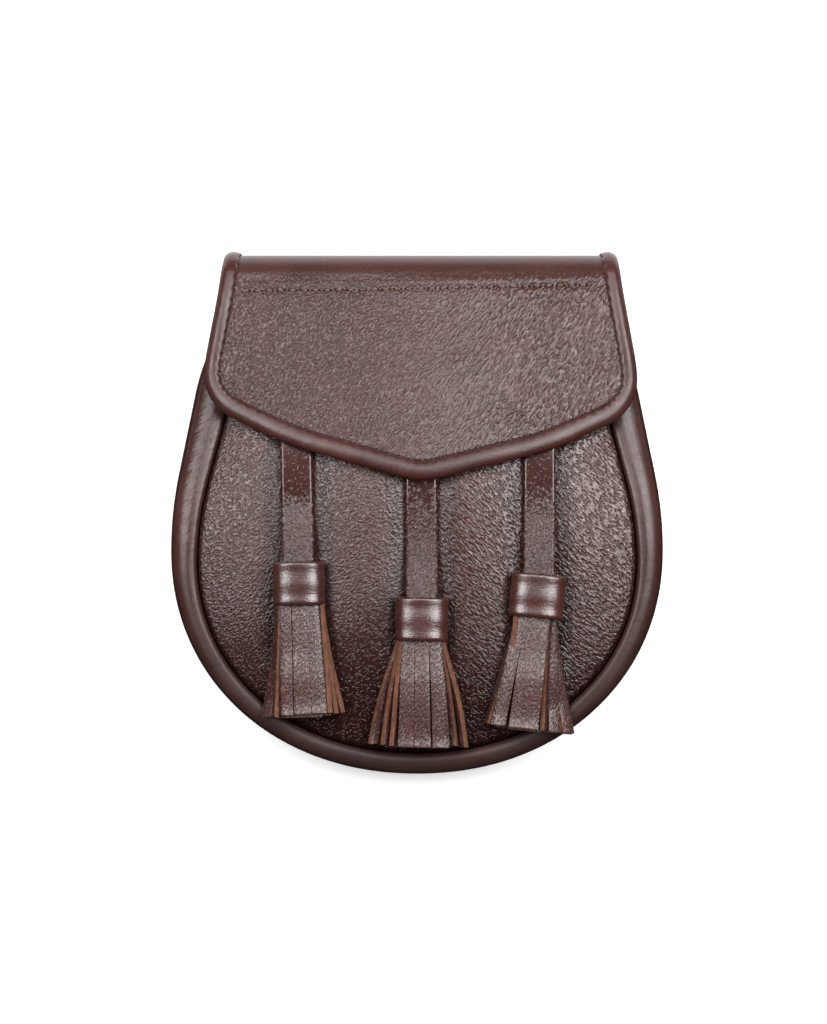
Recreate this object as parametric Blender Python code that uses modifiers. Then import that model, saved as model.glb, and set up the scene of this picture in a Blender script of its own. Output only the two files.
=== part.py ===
"""A leather sporran pouch that lies on its back with its flap closed.

Metres. +X is the pouch's right in a front view, +Y its top and +Z its front, so its back faces the surface
that it lies on. The origin is on that surface, under the middle of the whole object.
"""

import math
from collections import namedtuple

import bmesh
import bpy
import numpy as np
from mathutils import Matrix, Vector

OBJECT_NAME = "sporran_pouch"

# Leather, and the gap that neighbouring pieces keep
PANEL_LEATHER = 0.0016
FLAP_LEATHER = 0.0020
GAP = 0.0003
SEAM_GAP = 0.0004

# Outline of the pouch in a front view: a round bottom, two shoulder arcs and two straight, leaning sides
HALF_WIDTH = 0.0938
WIDEST_Y = -0.0144
BOTTOM_DEPTH = 0.0854
BOTTOM_ROUNDNESS = 2.1
SHOULDER_RADIUS = 0.147
SIDE_LEAN = 0.2
MOUTH_Y = 0.0765
GUSSET_TOP_Y = 0.0840

# Front: the height of the gusset's crest, and of the front panel's ridge along the middle
CREST_Z = 0.032
CREST_DROP_TO_MOUTH = 0.0109
RIDGE_Z = 0.0395
RIDGE_DROP_TO_MOUTH = 0.0165
RIDGE_FLAT_BELOW_Y = -0.005
DOME_POWER = 2.6
PANEL_BELOW_CREST = 0.0008
PANEL_TURN_RADIUS = 0.0035
PANEL_MIDDLE_Y = 0.030

# The roll between the outline and the front seam widens from the bottom to the mouth
ROLL_WIDTH = 0.0103
ROLL_WIDENING = 0.0445
ROLL_WIDENING_GROWTH = 0.21
ROLL_WIDENS_FOR = 0.060

# Section of the gusset, from the front seam round to the back seam. Its inset from the outline is a share of
# the roll's width plus a length, and its height is a share of the way from the back up to the crest plus a
# length. Near the mouth it also rises off the surface and turns inwards, so that its ends tuck into the fold
# of the flap.
TUCK_START_Y = 0.046
TUCK_END_Y = 0.077
TUCK_Z = 0.0065
TUCK_INWARDS = 0.0050
GUSSET_SECTION = (
    # (line, share of roll width, inset, share of the height, lift)
    ("seam allowance", 1.0, 0.0018, 1.0, -0.0076),
    ("front seam", 1.0, -0.0001, 1.0, -0.0066),
    ("seam edge", 1.0, -0.0005, 1.0, -0.0034),
    ("lip", 1.0, -0.0016, 1.0, -0.0018),
    ("valley", 1.0, -0.0033, 1.0, -0.0022),
    ("crest", 0.45, 0.0, 1.0, 0.0),
    ("outer slope", 0.16, 0.0, 1.0, -0.0024),
    ("shoulder", 0.0, 0.0003, 0.78, 0.0),
    ("side", 0.0, 0.0, 0.5, 0.0),
    ("lower side", 0.0, 0.0011, 0.22, 0.0),
    ("back shoulder", 0.0, 0.0032, 0.0, 0.0020),
    ("foot outer edge", 0.0, 0.0056, 0.0, 0.0),
    ("foot inner edge", 0.0, 0.0086, 0.0, 0.0),
    ("back seam", 0.0, 0.0104, 0.0, 0.0020),
    ("back seam edge", 0.0, 0.0108, 0.0, 0.0070),
)

# Back panel, recessed between the gusset's back rolls
BACK_Z = 0.0060
BACK_EDGE_INSET = 0.0114
BACK_TOP_NARROWING = 0.0008
BACK_STEP_START_Y = 0.0660
BACK_STEP_END_Y = 0.0780
BACK_TAB_END_Y = 0.0820
BACK_TAB_HALF_WIDTH = 0.0640

# Flap: its fold over the top, seen from the side, and its outline, seen from the front. Radii, heights and
# lengths are those of the middle of its leather.
FOLD_Y = 0.0869
FOLD_Z = 0.0135
FOLD_RADIUS = 0.0105
FOLD_TURN = math.radians(163.5)
FLAP_CURVE = 0.36
FLAP_DROOP = 0.0095
FLAP_DROOP_POWER = 2.4
FLAP_DROOP_LENGTH = 0.070
FLAP_SKEW = 0.018
FLAP_SHIFT_X = 0.0014
FLAP_LAP = 0.0090
Corner = namedtuple("Corner", "name half_width y radius")
FLAP_TIP = Corner("tip", 0.0, 0.0112, 0.029)
FLAP_CORNERS = (
    Corner("lower bend", 0.0494, 0.0243, 0.120),
    Corner("lower corner", 0.0836, 0.0400, 0.019),
    Corner("side bend", 0.0820, 0.0574, 0.080),
)
FLAP_HALF_WIDTH = 0.0836
FLAP_CORNER_ENDS_Y = 0.0440
FLAP_HALF_WIDTH_AT_FOLD = 0.0761
FLAP_FOLD_CORNER_RADIUS = 0.300
FLAP_HALF_WIDTH_AT_LAP = 0.0725

# Binding of the flap: a folded strip whose slot holds the flap's edge
BINDING_SIDE_WIDTH = 0.0062
BINDING_LOWER_WIDTH = 0.0075
BINDING_NARROWS_FROM_Y = 0.034
BINDING_NARROWS_TO_Y = 0.052
BINDING_SLOT_DEPTH = 0.0020
BINDING_SECTION = (
    # (line, share of the width from the outer edge, height above the middle of the flap's leather)
    ("outer edge", 0.0, 0.0),
    ("lower outer slope", 0.10, -0.0015),
    ("lower crest", 0.42, -0.0024),
    ("lower inner slope", 0.82, -0.0021),
    ("lower lip", 1.0, -0.0016),
    ("lower lip, in the slot", 1.0, -0.0013),
    ("slot, lower corner", None, -0.0013),
    ("slot, upper corner", None, 0.0013),
    ("upper lip, in the slot", 1.0, 0.0013),
    ("upper lip", 1.0, 0.0016),
    ("upper inner slope", 0.82, 0.0021),
    ("upper crest", 0.42, 0.0024),
    ("upper outer slope", 0.10, 0.0015),
)

# Shallow troughs that the straps press into the front panel
TROUGH_DEPTH = 0.0012
TROUGH_WIDTH = 0.0100
TROUGH_TOP_Y = 0.045
TROUGH_TOP_FADE = 0.020
TROUGH_BOTTOM_Y = -0.050
TROUGH_BOTTOM_FADE = 0.015

# Tassels. The tilt turns a whole tassel about the middle of its cap's top edge, and its strips end
# fringe_length below the cap, spread over fringe_width.
STRAP_WIDTH = 0.0120
STRAP_LEATHER = 0.0015
STRAP_CLEARANCE = 0.0006
STRAP_LIFT_LENGTH = 0.016
STRAP_INTO_CAP = 0.0035
CAP_LENGTH = 0.0162
CAP_DEPTH = 0.0112
CAP_LEATHER = 0.0015
CAP_ROUNDNESS = 2.5
CAP_PROFILE = (
    # (line, share of the cap's length from its top edge, distance on from there, inset from the full width)
    ("top edge", 0.0, 0.0, 0.0009),
    ("upper shoulder", 0.0, 0.0012, 0.0002),
    ("middle", 0.5, 0.0, 0.0),
    ("lower shoulder", 1.0, -0.0012, 0.0003),
    ("bottom edge", 1.0, 0.0, 0.0009),
    ("bottom edge, inside", 1.0, 0.0, 0.0018),
    ("middle, inside", 0.5, 0.0, 0.0015),
    ("top edge, inside", 0.0, 0.0, 0.0018),
)
STRIP_LEATHER = 0.0014
Tassel = namedtuple(
    "Tassel", "side x cap_top_y strap_top_x strap_top_y tilt_degrees cap_width fringe_length fringe_width"
)
TASSELS = (
    Tassel("left", -0.0449, -0.0189, -0.0462, 0.0400, -1.0, 0.0200, 0.0420, 0.0300),
    Tassel("centre", 0.0019, -0.0324, 0.0015, 0.0270, 1.0, 0.0204, 0.0402, 0.0375),
    Tassel("right", 0.0463, -0.0236, 0.0466, 0.0380, 5.5, 0.0210, 0.0425, 0.0345),
)
FRINGE_COLUMNS = (
    # (strip, width at the head, width at the end), from left to right, for each of the two layers
    ("left, on edge", 0.0015, 0.0020),
    ("left", 0.0040, 0.0064),
    ("middle", 0.0044, 0.0074),
    ("right", 0.0040, 0.0064),
    ("right, on edge", 0.0015, 0.0020),
)
FRINGE_LAYERS = 2
FRINGE_HEAD_DEPTH = 0.0064
FRINGE_HEAD_CLEARANCE = 0.0004
FRINGE_HEAD_IN_CAP = 0.0085
FRINGE_HEAD_ABOVE_CAP_END = 0.0006
FRINGE_SPREAD_POWER = 1.2
FRINGE_STATIONS = 5
STRIPS_THIN_WITHIN = 0.4
STRIPS_SETTLE_WITHIN = 1.3
STRIP_INSET = 0.0003
STRIP_CLEARANCE = 0.0014
LAYERS_CLOSE_TO = 0.85
ON_EDGE_SHARE_OF_LAYER = 0.8

# Snap stud between the flap and the front panel, and the belt loops on the back
STUD_RADIUS = 0.0060
STUD_THICKNESS = 0.0014
STUD_EDGE = 0.0003
STUD_Y = 0.0420
STUD_TILT = math.radians(-14.3)
LOOP_X = 0.0400
LOOP_WIDTH = 0.0200
LOOP_LEATHER = 0.0015
LOOP_PROFILE = (
    # (place, y, height of the face that looks away from the pouch)
    ("upper foot end", 0.0660, 0.0042),
    ("upper foot", 0.0620, 0.0042),
    ("upper bend", 0.0592, 0.0000),
    ("middle", 0.0450, 0.0000),
    ("lower bend", 0.0308, 0.0000),
    ("lower foot", 0.0280, 0.0042),
    ("lower foot end", 0.0240, 0.0042),
)

# Numbers of faces
SEAM_STEPS = 48
PANEL_RINGS = (1.0, 0.995, 0.98, 0.95, 0.87, 0.72, 0.52, 0.28, 0.0)
MOUTH_STEPS = 12
FLAP_COLUMNS = 20
BINDING_STEPS = 58
CAP_SIDES = 20

# Colour, roughness and metallic value of each kind of surface
GRAINED = ((0.115, 0.062, 0.055), 0.42, 0.0)
SMOOTH = ((0.100, 0.042, 0.036), 0.36, 0.0)
CUT_STRIPS = ((0.130, 0.066, 0.052), 0.48, 0.0)
PLAIN_BACK = ((0.070, 0.034, 0.029), 0.55, 0.0)
STUD_METAL = ((0.42, 0.38, 0.33), 0.35, 1.0)


def ease(value, low, high):
    """0 up to low, 1 from high on, and a smooth S between them."""
    share = np.clip((value - low) / (high - low), 0.0, 1.0)
    return share * share * (3.0 - 2.0 * share)


def lengths_along(points):
    """The distance along a line of points, at each of them."""
    steps = np.linalg.norm(np.diff(points, axis=0), axis=1)
    return np.concatenate([[0.0], np.cumsum(steps)])


def mirrored(right_half):
    """The whole line of points from the right half of it, which starts on the plane x = 0."""
    left_half = right_half[:0:-1] * (-1.0, 1.0)
    return np.concatenate([left_half, right_half])


def normals_to_left(points):
    """The direction to the left of travel at each point of a plane line."""
    ahead = np.gradient(points, axis=0)
    turned = np.stack([-ahead[:, 1], ahead[:, 0]], axis=1)
    return turned / np.linalg.norm(turned, axis=1, keepdims=True)


# ------------------------------------------------------------------ forms of the pouch


def pouch_outline():
    """The outline from the gusset's left end, round the bottom, to its right end, closely spaced."""
    turn = np.linspace(0.0, math.pi / 2, 160)
    power = 2.0 / BOTTOM_ROUNDNESS
    bottom_x = HALF_WIDTH * np.sin(turn) ** power
    bottom_y = WIDEST_Y - BOTTOM_DEPTH * np.cos(turn) ** power
    swing = np.linspace(0.0, math.atan(SIDE_LEAN), 24)[1:]
    shoulder_x = HALF_WIDTH - SHOULDER_RADIUS * (1.0 - np.cos(swing))
    shoulder_y = WIDEST_Y + SHOULDER_RADIUS * np.sin(swing)
    side_y = np.linspace(shoulder_y[-1], GUSSET_TOP_Y, 40)[1:]
    side_x = shoulder_x[-1] - SIDE_LEAN * (side_y - shoulder_y[-1])
    side_x -= TUCK_INWARDS * ease(side_y, TUCK_START_Y, GUSSET_TOP_Y)
    right_half = np.stack(
        [np.concatenate([bottom_x, shoulder_x, side_x]), np.concatenate([bottom_y, shoulder_y, side_y])],
        axis=1,
    )
    return mirrored(right_half)


OUTLINE = pouch_outline()
OUTLINE_LENGTHS = lengths_along(OUTLINE)
OUTLINE_INWARD = normals_to_left(OUTLINE)


def on_outline(share, inset):
    """The point at this share of the outline's length, moved inwards by inset, and the outline's own y there."""
    length = share * OUTLINE_LENGTHS[-1]
    x, y = (np.interp(length, OUTLINE_LENGTHS, OUTLINE[:, axis]) for axis in (0, 1))
    in_x, in_y = (np.interp(length, OUTLINE_LENGTHS, OUTLINE_INWARD[:, axis]) for axis in (0, 1))
    inset = inset(y) if callable(inset) else inset
    return x + in_x * inset, y + in_y * inset


def outline_y(share):
    return np.interp(share * OUTLINE_LENGTHS[-1], OUTLINE_LENGTHS, OUTLINE[:, 1])


def seam_shares():
    """The places along the outline that the gusset and the front panel share, from mouth to mouth."""
    left_side = slice(0, len(OUTLINE) // 2)
    mouth = np.interp(-MOUTH_Y, -OUTLINE[left_side, 1], OUTLINE_LENGTHS[left_side])
    share = mouth / OUTLINE_LENGTHS[-1]
    return np.linspace(share, 1.0 - share, SEAM_STEPS + 1)


def roll_width(y):
    """The distance from the outline to the front seam."""
    above = np.minimum(y - WIDEST_Y, ROLL_WIDENS_FOR)
    return ROLL_WIDTH + ROLL_WIDENING * above + ROLL_WIDENING_GROWTH * above * above


def crest_height(y):
    return CREST_Z - CREST_DROP_TO_MOUTH * ease(y, WIDEST_Y, MOUTH_Y)


def tuck_height(y):
    """How far the gusset's back rises where its ends tuck into the fold."""
    return TUCK_Z * ease(y, TUCK_START_Y, TUCK_END_Y)


def ridge_height(y):
    """The front panel's height along the middle of the pouch, without its troughs."""
    above = np.maximum(y - RIDGE_FLAT_BELOW_Y, 0.0) / (MOUTH_Y - RIDGE_FLAT_BELOW_Y)
    return RIDGE_Z - RIDGE_DROP_TO_MOUTH * above * above


def half_width_at(y):
    """The outline's half width at a height above its widest place."""
    right = OUTLINE[len(OUTLINE) // 2 :]
    upper = right[right[:, 1] >= WIDEST_Y]
    return np.interp(y, upper[:, 1], upper[:, 0])


def share_to_seam(x, y):
    """0 at the middle of the front panel and 1 at its seam."""
    roll = roll_width(y)
    across = np.abs(x) / (half_width_at(np.maximum(y, WIDEST_Y)) - roll)
    down = np.maximum(WIDEST_Y - y, 0.0) / (BOTTOM_DEPTH - roll)
    return (across**BOTTOM_ROUNDNESS + down**BOTTOM_ROUNDNESS) ** (1.0 / BOTTOM_ROUNDNESS)


def distance_to_seam(x, y):
    seam_x, seam_y = on_outline(np.linspace(0.0, 1.0, 400), lambda at: roll_width(at) + SEAM_GAP)
    return np.sqrt(((x[..., None] - seam_x) ** 2 + (y[..., None] - seam_y) ** 2).min(axis=-1))


def trough(x, y):
    """How far the straps press the front panel in."""
    starts = ease(y, TROUGH_BOTTOM_Y - TROUGH_BOTTOM_FADE, TROUGH_BOTTOM_Y)
    ends = 1.0 - ease(y, TROUGH_TOP_Y, TROUGH_TOP_Y + TROUGH_TOP_FADE)
    beside = sum(np.exp(-(((x - tassel.x) / TROUGH_WIDTH) ** 2)) for tassel in TASSELS)
    return TROUGH_DEPTH * starts * ends * beside


def dome_height(x, y):
    """The outer face of the front panel, before its edge turns down into the seam."""
    edge = crest_height(y) - PANEL_BELOW_CREST
    rise = ridge_height(y) - edge
    return edge + rise * (1.0 - np.minimum(share_to_seam(x, y), 1.0) ** DOME_POWER) - trough(x, y)


def panel_height(x, y):
    """The outer face of the front panel, with its edge turned down."""
    into_turn = np.clip(1.0 - distance_to_seam(x, y) / PANEL_TURN_RADIUS, 0.0, 1.0)
    return dome_height(x, y) - PANEL_TURN_RADIUS * (1.0 - np.sqrt(1.0 - into_turn * into_turn))


# ------------------------------------------------------------------ forms of the flap


def rounded_corners(corners, steps=8):
    """A line through corners, each rounded with its own radius."""
    points = [Vector((corner.half_width, corner.y)) for corner in corners]
    line = [points[0]]
    for before, corner, after, row in zip(points, points[1:], points[2:], corners[1:]):
        back = (before - corner).normalized()
        ahead = (after - corner).normalized()
        half_turn = (math.pi - back.angle(ahead)) / 2
        reach = row.radius * math.tan(half_turn)
        middle = corner + (back + ahead).normalized() * (row.radius / math.cos(half_turn))
        start = corner + back * reach - middle
        side = 1.0 if start.cross(corner + ahead * reach - middle) > 0 else -1.0
        for step in range(steps + 1):
            line.append(middle + Matrix.Rotation(side * 2 * half_turn * step / steps, 2) @ start)
    line.append(points[-1])
    return np.array([tuple(point) for point in line])


FOLD_START_Y = FOLD_Y + FOLD_RADIUS * math.sin(FOLD_TURN)
FOLD_START_Z = FOLD_Z - FOLD_RADIUS * math.cos(FOLD_TURN)
FOLD_LENGTH = FOLD_RADIUS * FOLD_TURN


def flap_outline(inset):
    """The flap's outline from its lap on the back, left, round its tip to the lap, right, moved in by inset.

    Its second value is y up to the fold, and the length along the leather from there on.
    """
    lap_end = FOLD_START_Y + FOLD_LENGTH + FLAP_LAP
    bend = FLAP_CORNERS[0]
    left_bend = Corner("left bend", -bend.half_width, bend.y, 0.0)
    fold = Corner("start of the fold", FLAP_HALF_WIDTH_AT_FOLD, FOLD_START_Y, FLAP_FOLD_CORNER_RADIUS)
    lap = Corner("end of the lap", FLAP_HALF_WIDTH_AT_LAP, lap_end, 0.0)
    right_half = rounded_corners([left_bend, FLAP_TIP, *FLAP_CORNERS, fold, lap])
    right_half = right_half[right_half[:, 0] > 1e-6]
    slope = math.atan2(bend.y - FLAP_TIP.y, bend.half_width)
    lowest = FLAP_TIP.y + FLAP_TIP.radius * (1.0 / math.cos(slope) - 1.0)
    whole = mirrored(np.concatenate([[(0.0, lowest)], right_half]))
    lengths = lengths_along(whole)
    fine = np.linspace(0.0, lengths[-1], 1200)
    whole = np.stack([np.interp(fine, lengths, whole[:, axis]) for axis in (0, 1)], axis=1)
    return whole + normals_to_left(whole) * inset


def bent_over(x, along):
    """The middle of the flap's leather at x and at a length along it, as flap_outline measures them."""
    below_fold = np.maximum(FOLD_START_Y - along, 0.0)
    past_start = np.clip(along - FOLD_START_Y, 0.0, FOLD_LENGTH)
    past_fold = np.maximum(along - FOLD_START_Y - FOLD_LENGTH, 0.0)
    turn = FOLD_TURN - past_start / FOLD_RADIUS
    y = FOLD_Y + FOLD_RADIUS * np.sin(turn) - below_fold - past_fold
    rise = -math.tan(FOLD_TURN) * below_fold - FLAP_CURVE * below_fold**2
    hang = ease(below_fold, 0.0, FLAP_DROOP_LENGTH)
    droop = FLAP_DROOP * hang * np.abs(x / FLAP_HALF_WIDTH) ** FLAP_DROOP_POWER
    z = FOLD_Z - FOLD_RADIUS * np.cos(turn) + rise - droop
    return np.stack([x + FLAP_SHIFT_X, y - FLAP_SKEW * hang * x, z], axis=-1)


def flap_normal(x, along):
    """The direction out of the flap's outer face."""
    step = 0.0002
    across = bent_over(x + step, along) - bent_over(x - step, along)
    up = bent_over(x, along + step) - bent_over(x, along - step)
    out = np.cross(across, up)
    return out / np.linalg.norm(out, axis=-1, keepdims=True)


def binding_width(along):
    """The binding is wider along the flap's lower edge than up its sides."""
    narrowing = ease(along, BINDING_NARROWS_FROM_Y, BINDING_NARROWS_TO_Y)
    return BINDING_LOWER_WIDTH + (BINDING_SIDE_WIDTH - BINDING_LOWER_WIDTH) * narrowing


# ------------------------------------------------------------------ making meshes and objects


def grid(columns, rows, place):
    """A grid of faces that place() puts in space, from shares 0 to 1 across its columns and its rows."""
    form = bmesh.new()
    bmesh.ops.create_grid(form, x_segments=columns, y_segments=rows, size=1.0)
    shares = np.array([vert.co[:2] for vert in form.verts]) / 2 + 0.5
    for vert, point in zip(form.verts, place(shares[:, 0], shares[:, 1])):
        vert.co = point
    return form


def weld(form):
    bmesh.ops.remove_doubles(form, verts=form.verts, dist=1e-6)
    bmesh.ops.dissolve_degenerate(form, edges=form.edges, dist=1e-7)


def outwards(form):
    bmesh.ops.recalc_face_normals(form, faces=form.faces)


def material(name, looks):
    colour, roughness, metallic = looks
    made = bpy.data.materials.new(name)
    made.use_nodes = True
    surface = made.node_tree.nodes["Principled BSDF"]
    surface.inputs["Base Color"].default_value = (*colour, 1.0)
    surface.inputs["Roughness"].default_value = roughness
    surface.inputs["Metallic"].default_value = metallic
    return made


def add(name, form, looks, place=Matrix()):
    """Turns a bmesh into an object of the pouch's collection."""
    mesh = bpy.data.meshes.new(name)
    form.to_mesh(mesh)
    form.free()
    mesh.materials.append(material(name, looks))
    mesh.shade_smooth()
    mesh.set_sharp_from_angle(angle=math.radians(40))
    made = bpy.data.objects.new(name, mesh)
    made.matrix_world = place
    bpy.data.collections[OBJECT_NAME].objects.link(made)
    return made


def thicken(made, thickness, offset):
    """Gives an open surface its leather: offset -1 inside the surface, 0 on both sides of it, 1 outside."""
    wall = made.modifiers.new("leather", "SOLIDIFY")
    wall.thickness = thickness
    wall.offset = offset
    wall.use_even_offset = True
    return made


# ------------------------------------------------------------------ the pieces


def make_gusset():
    section = np.array([row[1:] for row in GUSSET_SECTION])
    seam = seam_shares()
    stations = np.concatenate([[0.0, seam[0] / 2], seam, [1.0 - seam[0] / 2, 1.0]])

    def place(along, round_section):
        station = stations[np.round(along * (len(stations) - 1)).astype(int)]
        roll, inset, height, lift = section[np.round(round_section * (len(section) - 1)).astype(int)].T
        outline_at = outline_y(station)
        x, y = on_outline(station, roll * roll_width(outline_at) + inset)
        back, crest = tuck_height(outline_at), crest_height(outline_at)
        return np.stack([x, y, back + height * (crest - back) + lift], axis=1)

    form = grid(len(stations) - 1, len(section) - 1, place)
    return thicken(add("gusset", form, SMOOTH), PANEL_LEATHER, 1.0)


def make_front_panel():
    seam = seam_shares()
    around = SEAM_STEPS + MOUTH_STEPS
    rings = np.array(PANEL_RINGS)

    def place(round_edge, inwards):
        step = np.round(round_edge * around).astype(int)
        x, y = on_outline(seam[np.minimum(step, SEAM_STEPS)], lambda at: roll_width(at) + SEAM_GAP)
        x = x * (1.0 - 2.0 * np.maximum(step - SEAM_STEPS, 0) / MOUTH_STEPS)
        ring = rings[np.round(inwards * (len(rings) - 1)).astype(int)]
        x, y = x * ring, PANEL_MIDDLE_Y + (y - PANEL_MIDDLE_Y) * ring
        return np.stack([x, y, panel_height(x, y)], axis=1)

    form = grid(around, len(PANEL_RINGS) - 1, place)
    weld(form)
    return thicken(add("front_panel", form, GRAINED), PANEL_LEATHER, -1.0)


def back_profile():
    """(y, height) of the back panel's outer face, from above its round bottom to its tab inside the fold."""
    lapped_z = FOLD_Z - FOLD_RADIUS + FLAP_LEATHER / 2 + GAP
    radius = FOLD_Z - lapped_z
    turns = np.linspace(0.0, FOLD_TURN, 9)
    rows = [(WIDEST_Y, BACK_Z), (BACK_STEP_START_Y, BACK_Z)]
    rows += [((BACK_STEP_START_Y + BACK_STEP_END_Y) / 2, (BACK_Z + lapped_z) / 2), (BACK_STEP_END_Y, lapped_z)]
    rows += [(FOLD_Y + radius * math.sin(turn), FOLD_Z - radius * math.cos(turn)) for turn in turns]
    tab_y, tab_z = rows[-1]
    rows.append((BACK_TAB_END_Y, tab_z - math.tan(FOLD_TURN) * (tab_y - BACK_TAB_END_Y)))
    return rows


def make_back_panel():
    turns = np.linspace(0.0, math.pi / 2, 13)[:-1]
    power = 2.0 / BOTTOM_ROUNDNESS
    width, depth = HALF_WIDTH - BACK_EDGE_INSET, BOTTOM_DEPTH - BACK_EDGE_INSET
    rows = [(width * math.sin(t) ** power, WIDEST_Y - depth * math.cos(t) ** power, BACK_Z) for t in turns]
    for index, (y, z) in enumerate(back_profile()):
        beside_gusset = float(half_width_at(y)) - BACK_EDGE_INSET - BACK_TOP_NARROWING * index
        rows.append((beside_gusset if index < 2 else BACK_TAB_HALF_WIDTH, y, z))
    half_width, y, z = np.array(rows).T

    def place(across, along):
        row = np.round(along * (len(rows) - 1)).astype(int)
        return np.stack([(across * 2 - 1) * half_width[row], y[row], z[row]], axis=1)

    form = grid(2, len(rows) - 1, place)
    weld(form)
    return thicken(add("back_panel", form, PLAIN_BACK), PANEL_LEATHER, 1.0)


def make_flap():
    edge = flap_outline(BINDING_SLOT_DEPTH + GAP)
    corner = np.argmin(np.abs(edge[:, 1] - FLAP_CORNER_ENDS_Y) + (edge[:, 0] < 0))
    side = edge[corner:]
    bottom = edge[len(edge) - 1 - corner : corner + 1]
    fold_rows = FOLD_START_Y + np.linspace(0.0, FOLD_LENGTH, 10)
    front_rows = np.linspace(side[0, 1], FOLD_START_Y, 12)[:-1]
    row_places = np.concatenate([front_rows, fold_rows, [side[-1, 1]]])
    half_widths = np.interp(row_places, side[:, 1], side[:, 0])
    sag = ease(row_places, FOLD_START_Y, side[0, 1])

    def place(across, along):
        row = np.round(along * (len(row_places) - 1)).astype(int)
        share = across * 2 - 1
        low = np.interp(share * half_widths[0], bottom[:, 0], bottom[:, 1]) - side[0, 1]
        return bent_over(share * half_widths[row], row_places[row] + low * sag[row])

    form = grid(FLAP_COLUMNS, len(row_places) - 1, place)
    outwards(form)
    return thicken(add("flap", form, GRAINED), FLAP_LEATHER, 0.0)


def make_flap_binding():
    edge = flap_outline(0.0)
    along_fold = (edge[:, 1] > FOLD_START_Y) & (edge[:, 1] < FOLD_START_Y + FOLD_LENGTH)
    at_corner = np.abs(edge[:, 1] - FLAP_CORNER_ENDS_Y) < FLAP_CORNERS[1].radius / 2
    weights = 1.0 + 1.2 * along_fold + 0.6 * at_corner
    stretched = np.concatenate([[0.0], np.cumsum(weights[1:] * np.diff(lengths_along(edge)))])
    inward = normals_to_left(edge)
    last = len(BINDING_SECTION)
    heights = np.array([row[2] for row in BINDING_SECTION])

    def place(along, round_section):
        at = along * stretched[-1]
        x, v, in_x, in_v = (np.interp(at, stretched, line) for line in (*edge.T, *inward.T))
        line = np.round(round_section * last).astype(int) % last
        width = binding_width(v)
        insets = [
            np.full_like(width, BINDING_SLOT_DEPTH) if row[1] is None else row[1] * width
            for row in BINDING_SECTION
        ]
        inset = np.choose(line, insets)
        out = flap_normal(x, v)
        inner = bent_over(x + in_x * 0.001, v + in_v * 0.001) - bent_over(x, v)
        inner -= out * (inner * out).sum(axis=1, keepdims=True)
        inner /= np.linalg.norm(inner, axis=1, keepdims=True)
        return bent_over(x, v) + inner * inset[:, None] + out * heights[line][:, None]

    form = grid(BINDING_STEPS, last, place)
    weld(form)
    bmesh.ops.holes_fill(form, edges=form.edges, sides=0)
    outwards(form)
    return add("flap_binding", form, SMOOTH)


def cap_middle_height(x, y):
    """The height of a cap's axis where the cap just clears the front panel."""
    return float(panel_height(np.array(x), np.array(y))) + STRAP_CLEARANCE + CAP_DEPTH / 2


def tassel_place(tassel):
    """Where the middle of the cap's top edge is, with -Y running down the tassel."""
    x, y = tassel.x, tassel.cap_top_y
    height = max(cap_middle_height(x, y), cap_middle_height(x, y - CAP_LENGTH / 2))
    return Matrix.Translation((x, y, height)) @ Matrix.Rotation(math.radians(-tassel.tilt_degrees), 4, "Z")


def make_strap(tassel):
    """A strap lies in its trough, then rises into the cap at its end."""
    y, top_y = tassel.cap_top_y, tassel.strap_top_y
    into_cap = tassel_place(tassel).translation.z - STRAP_LEATHER / 2
    bottom_y = y - STRAP_INTO_CAP
    lean = (tassel.strap_top_x - tassel.x) / (top_y - y)

    def place(across, along):
        at_y = bottom_y + (top_y - bottom_y) * along
        at_x = tassel.x + lean * (at_y - y) + (across - 0.5) * STRAP_WIDTH
        lying = panel_height(at_x, at_y) + STRAP_CLEARANCE
        lift = 1.0 - ease(at_y, y, y + STRAP_LIFT_LENGTH)
        return np.stack([at_x, at_y, lying + (into_cap - lying) * lift], axis=1)

    form = grid(2, 14, place)
    return thicken(add(f"tassel_strap_{tassel.side}", form, GRAINED), STRAP_LEATHER, 1.0)


def make_cap(tassel):
    """A short oval tube of wrapped leather, a little fuller in the middle of its length."""
    share, onwards, inset = np.array([row[1:] for row in CAP_PROFILE]).T
    below = share * CAP_LENGTH + onwards

    def place(around, round_wall):
        line = np.round(round_wall * len(CAP_PROFILE)).astype(int) % len(CAP_PROFILE)
        turn = around * 2 * math.pi
        power = 2.0 / CAP_ROUNDNESS
        x = np.sign(np.cos(turn)) * np.abs(np.cos(turn)) ** power * (tassel.cap_width / 2 - inset[line])
        z = np.sign(np.sin(turn)) * np.abs(np.sin(turn)) ** power * (CAP_DEPTH / 2 - inset[line])
        return np.stack([x, -below[line], z], axis=1)

    form = grid(CAP_SIDES, len(CAP_PROFILE), place)
    weld(form)
    outwards(form)
    return add(f"tassel_cap_{tassel.side}", form, SMOOTH, tassel_place(tassel))


def support_height(x, y):
    """The top of what lies under a tassel's strips: the front panel, or the gusset's crest beside it."""
    return np.maximum(dome_height(x, y), crest_height(y))


def fringe_head(tassel):
    """The underside of the head, a grid with one face for each strip of each layer."""
    widths = np.array([column[1] for column in FRINGE_COLUMNS])
    edges = np.concatenate([[0.0], np.cumsum(widths)]) - widths.sum() / 2
    half_width = tassel.cap_width / 2 - CAP_LEATHER - FRINGE_HEAD_CLEARANCE
    bottom = FRINGE_HEAD_ABOVE_CAP_END - CAP_LENGTH

    def place(across, layers):
        x = edges[np.round(across * len(widths)).astype(int)]
        rounding = (1.0 - np.abs(x / half_width) ** CAP_ROUNDNESS) ** (1.0 / CAP_ROUNDNESS)
        depth = (layers - 0.5) * FRINGE_HEAD_DEPTH * rounding
        return np.stack([x, np.full_like(x, bottom), depth], axis=1)

    return grid(len(widths), FRINGE_LAYERS, place)


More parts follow.
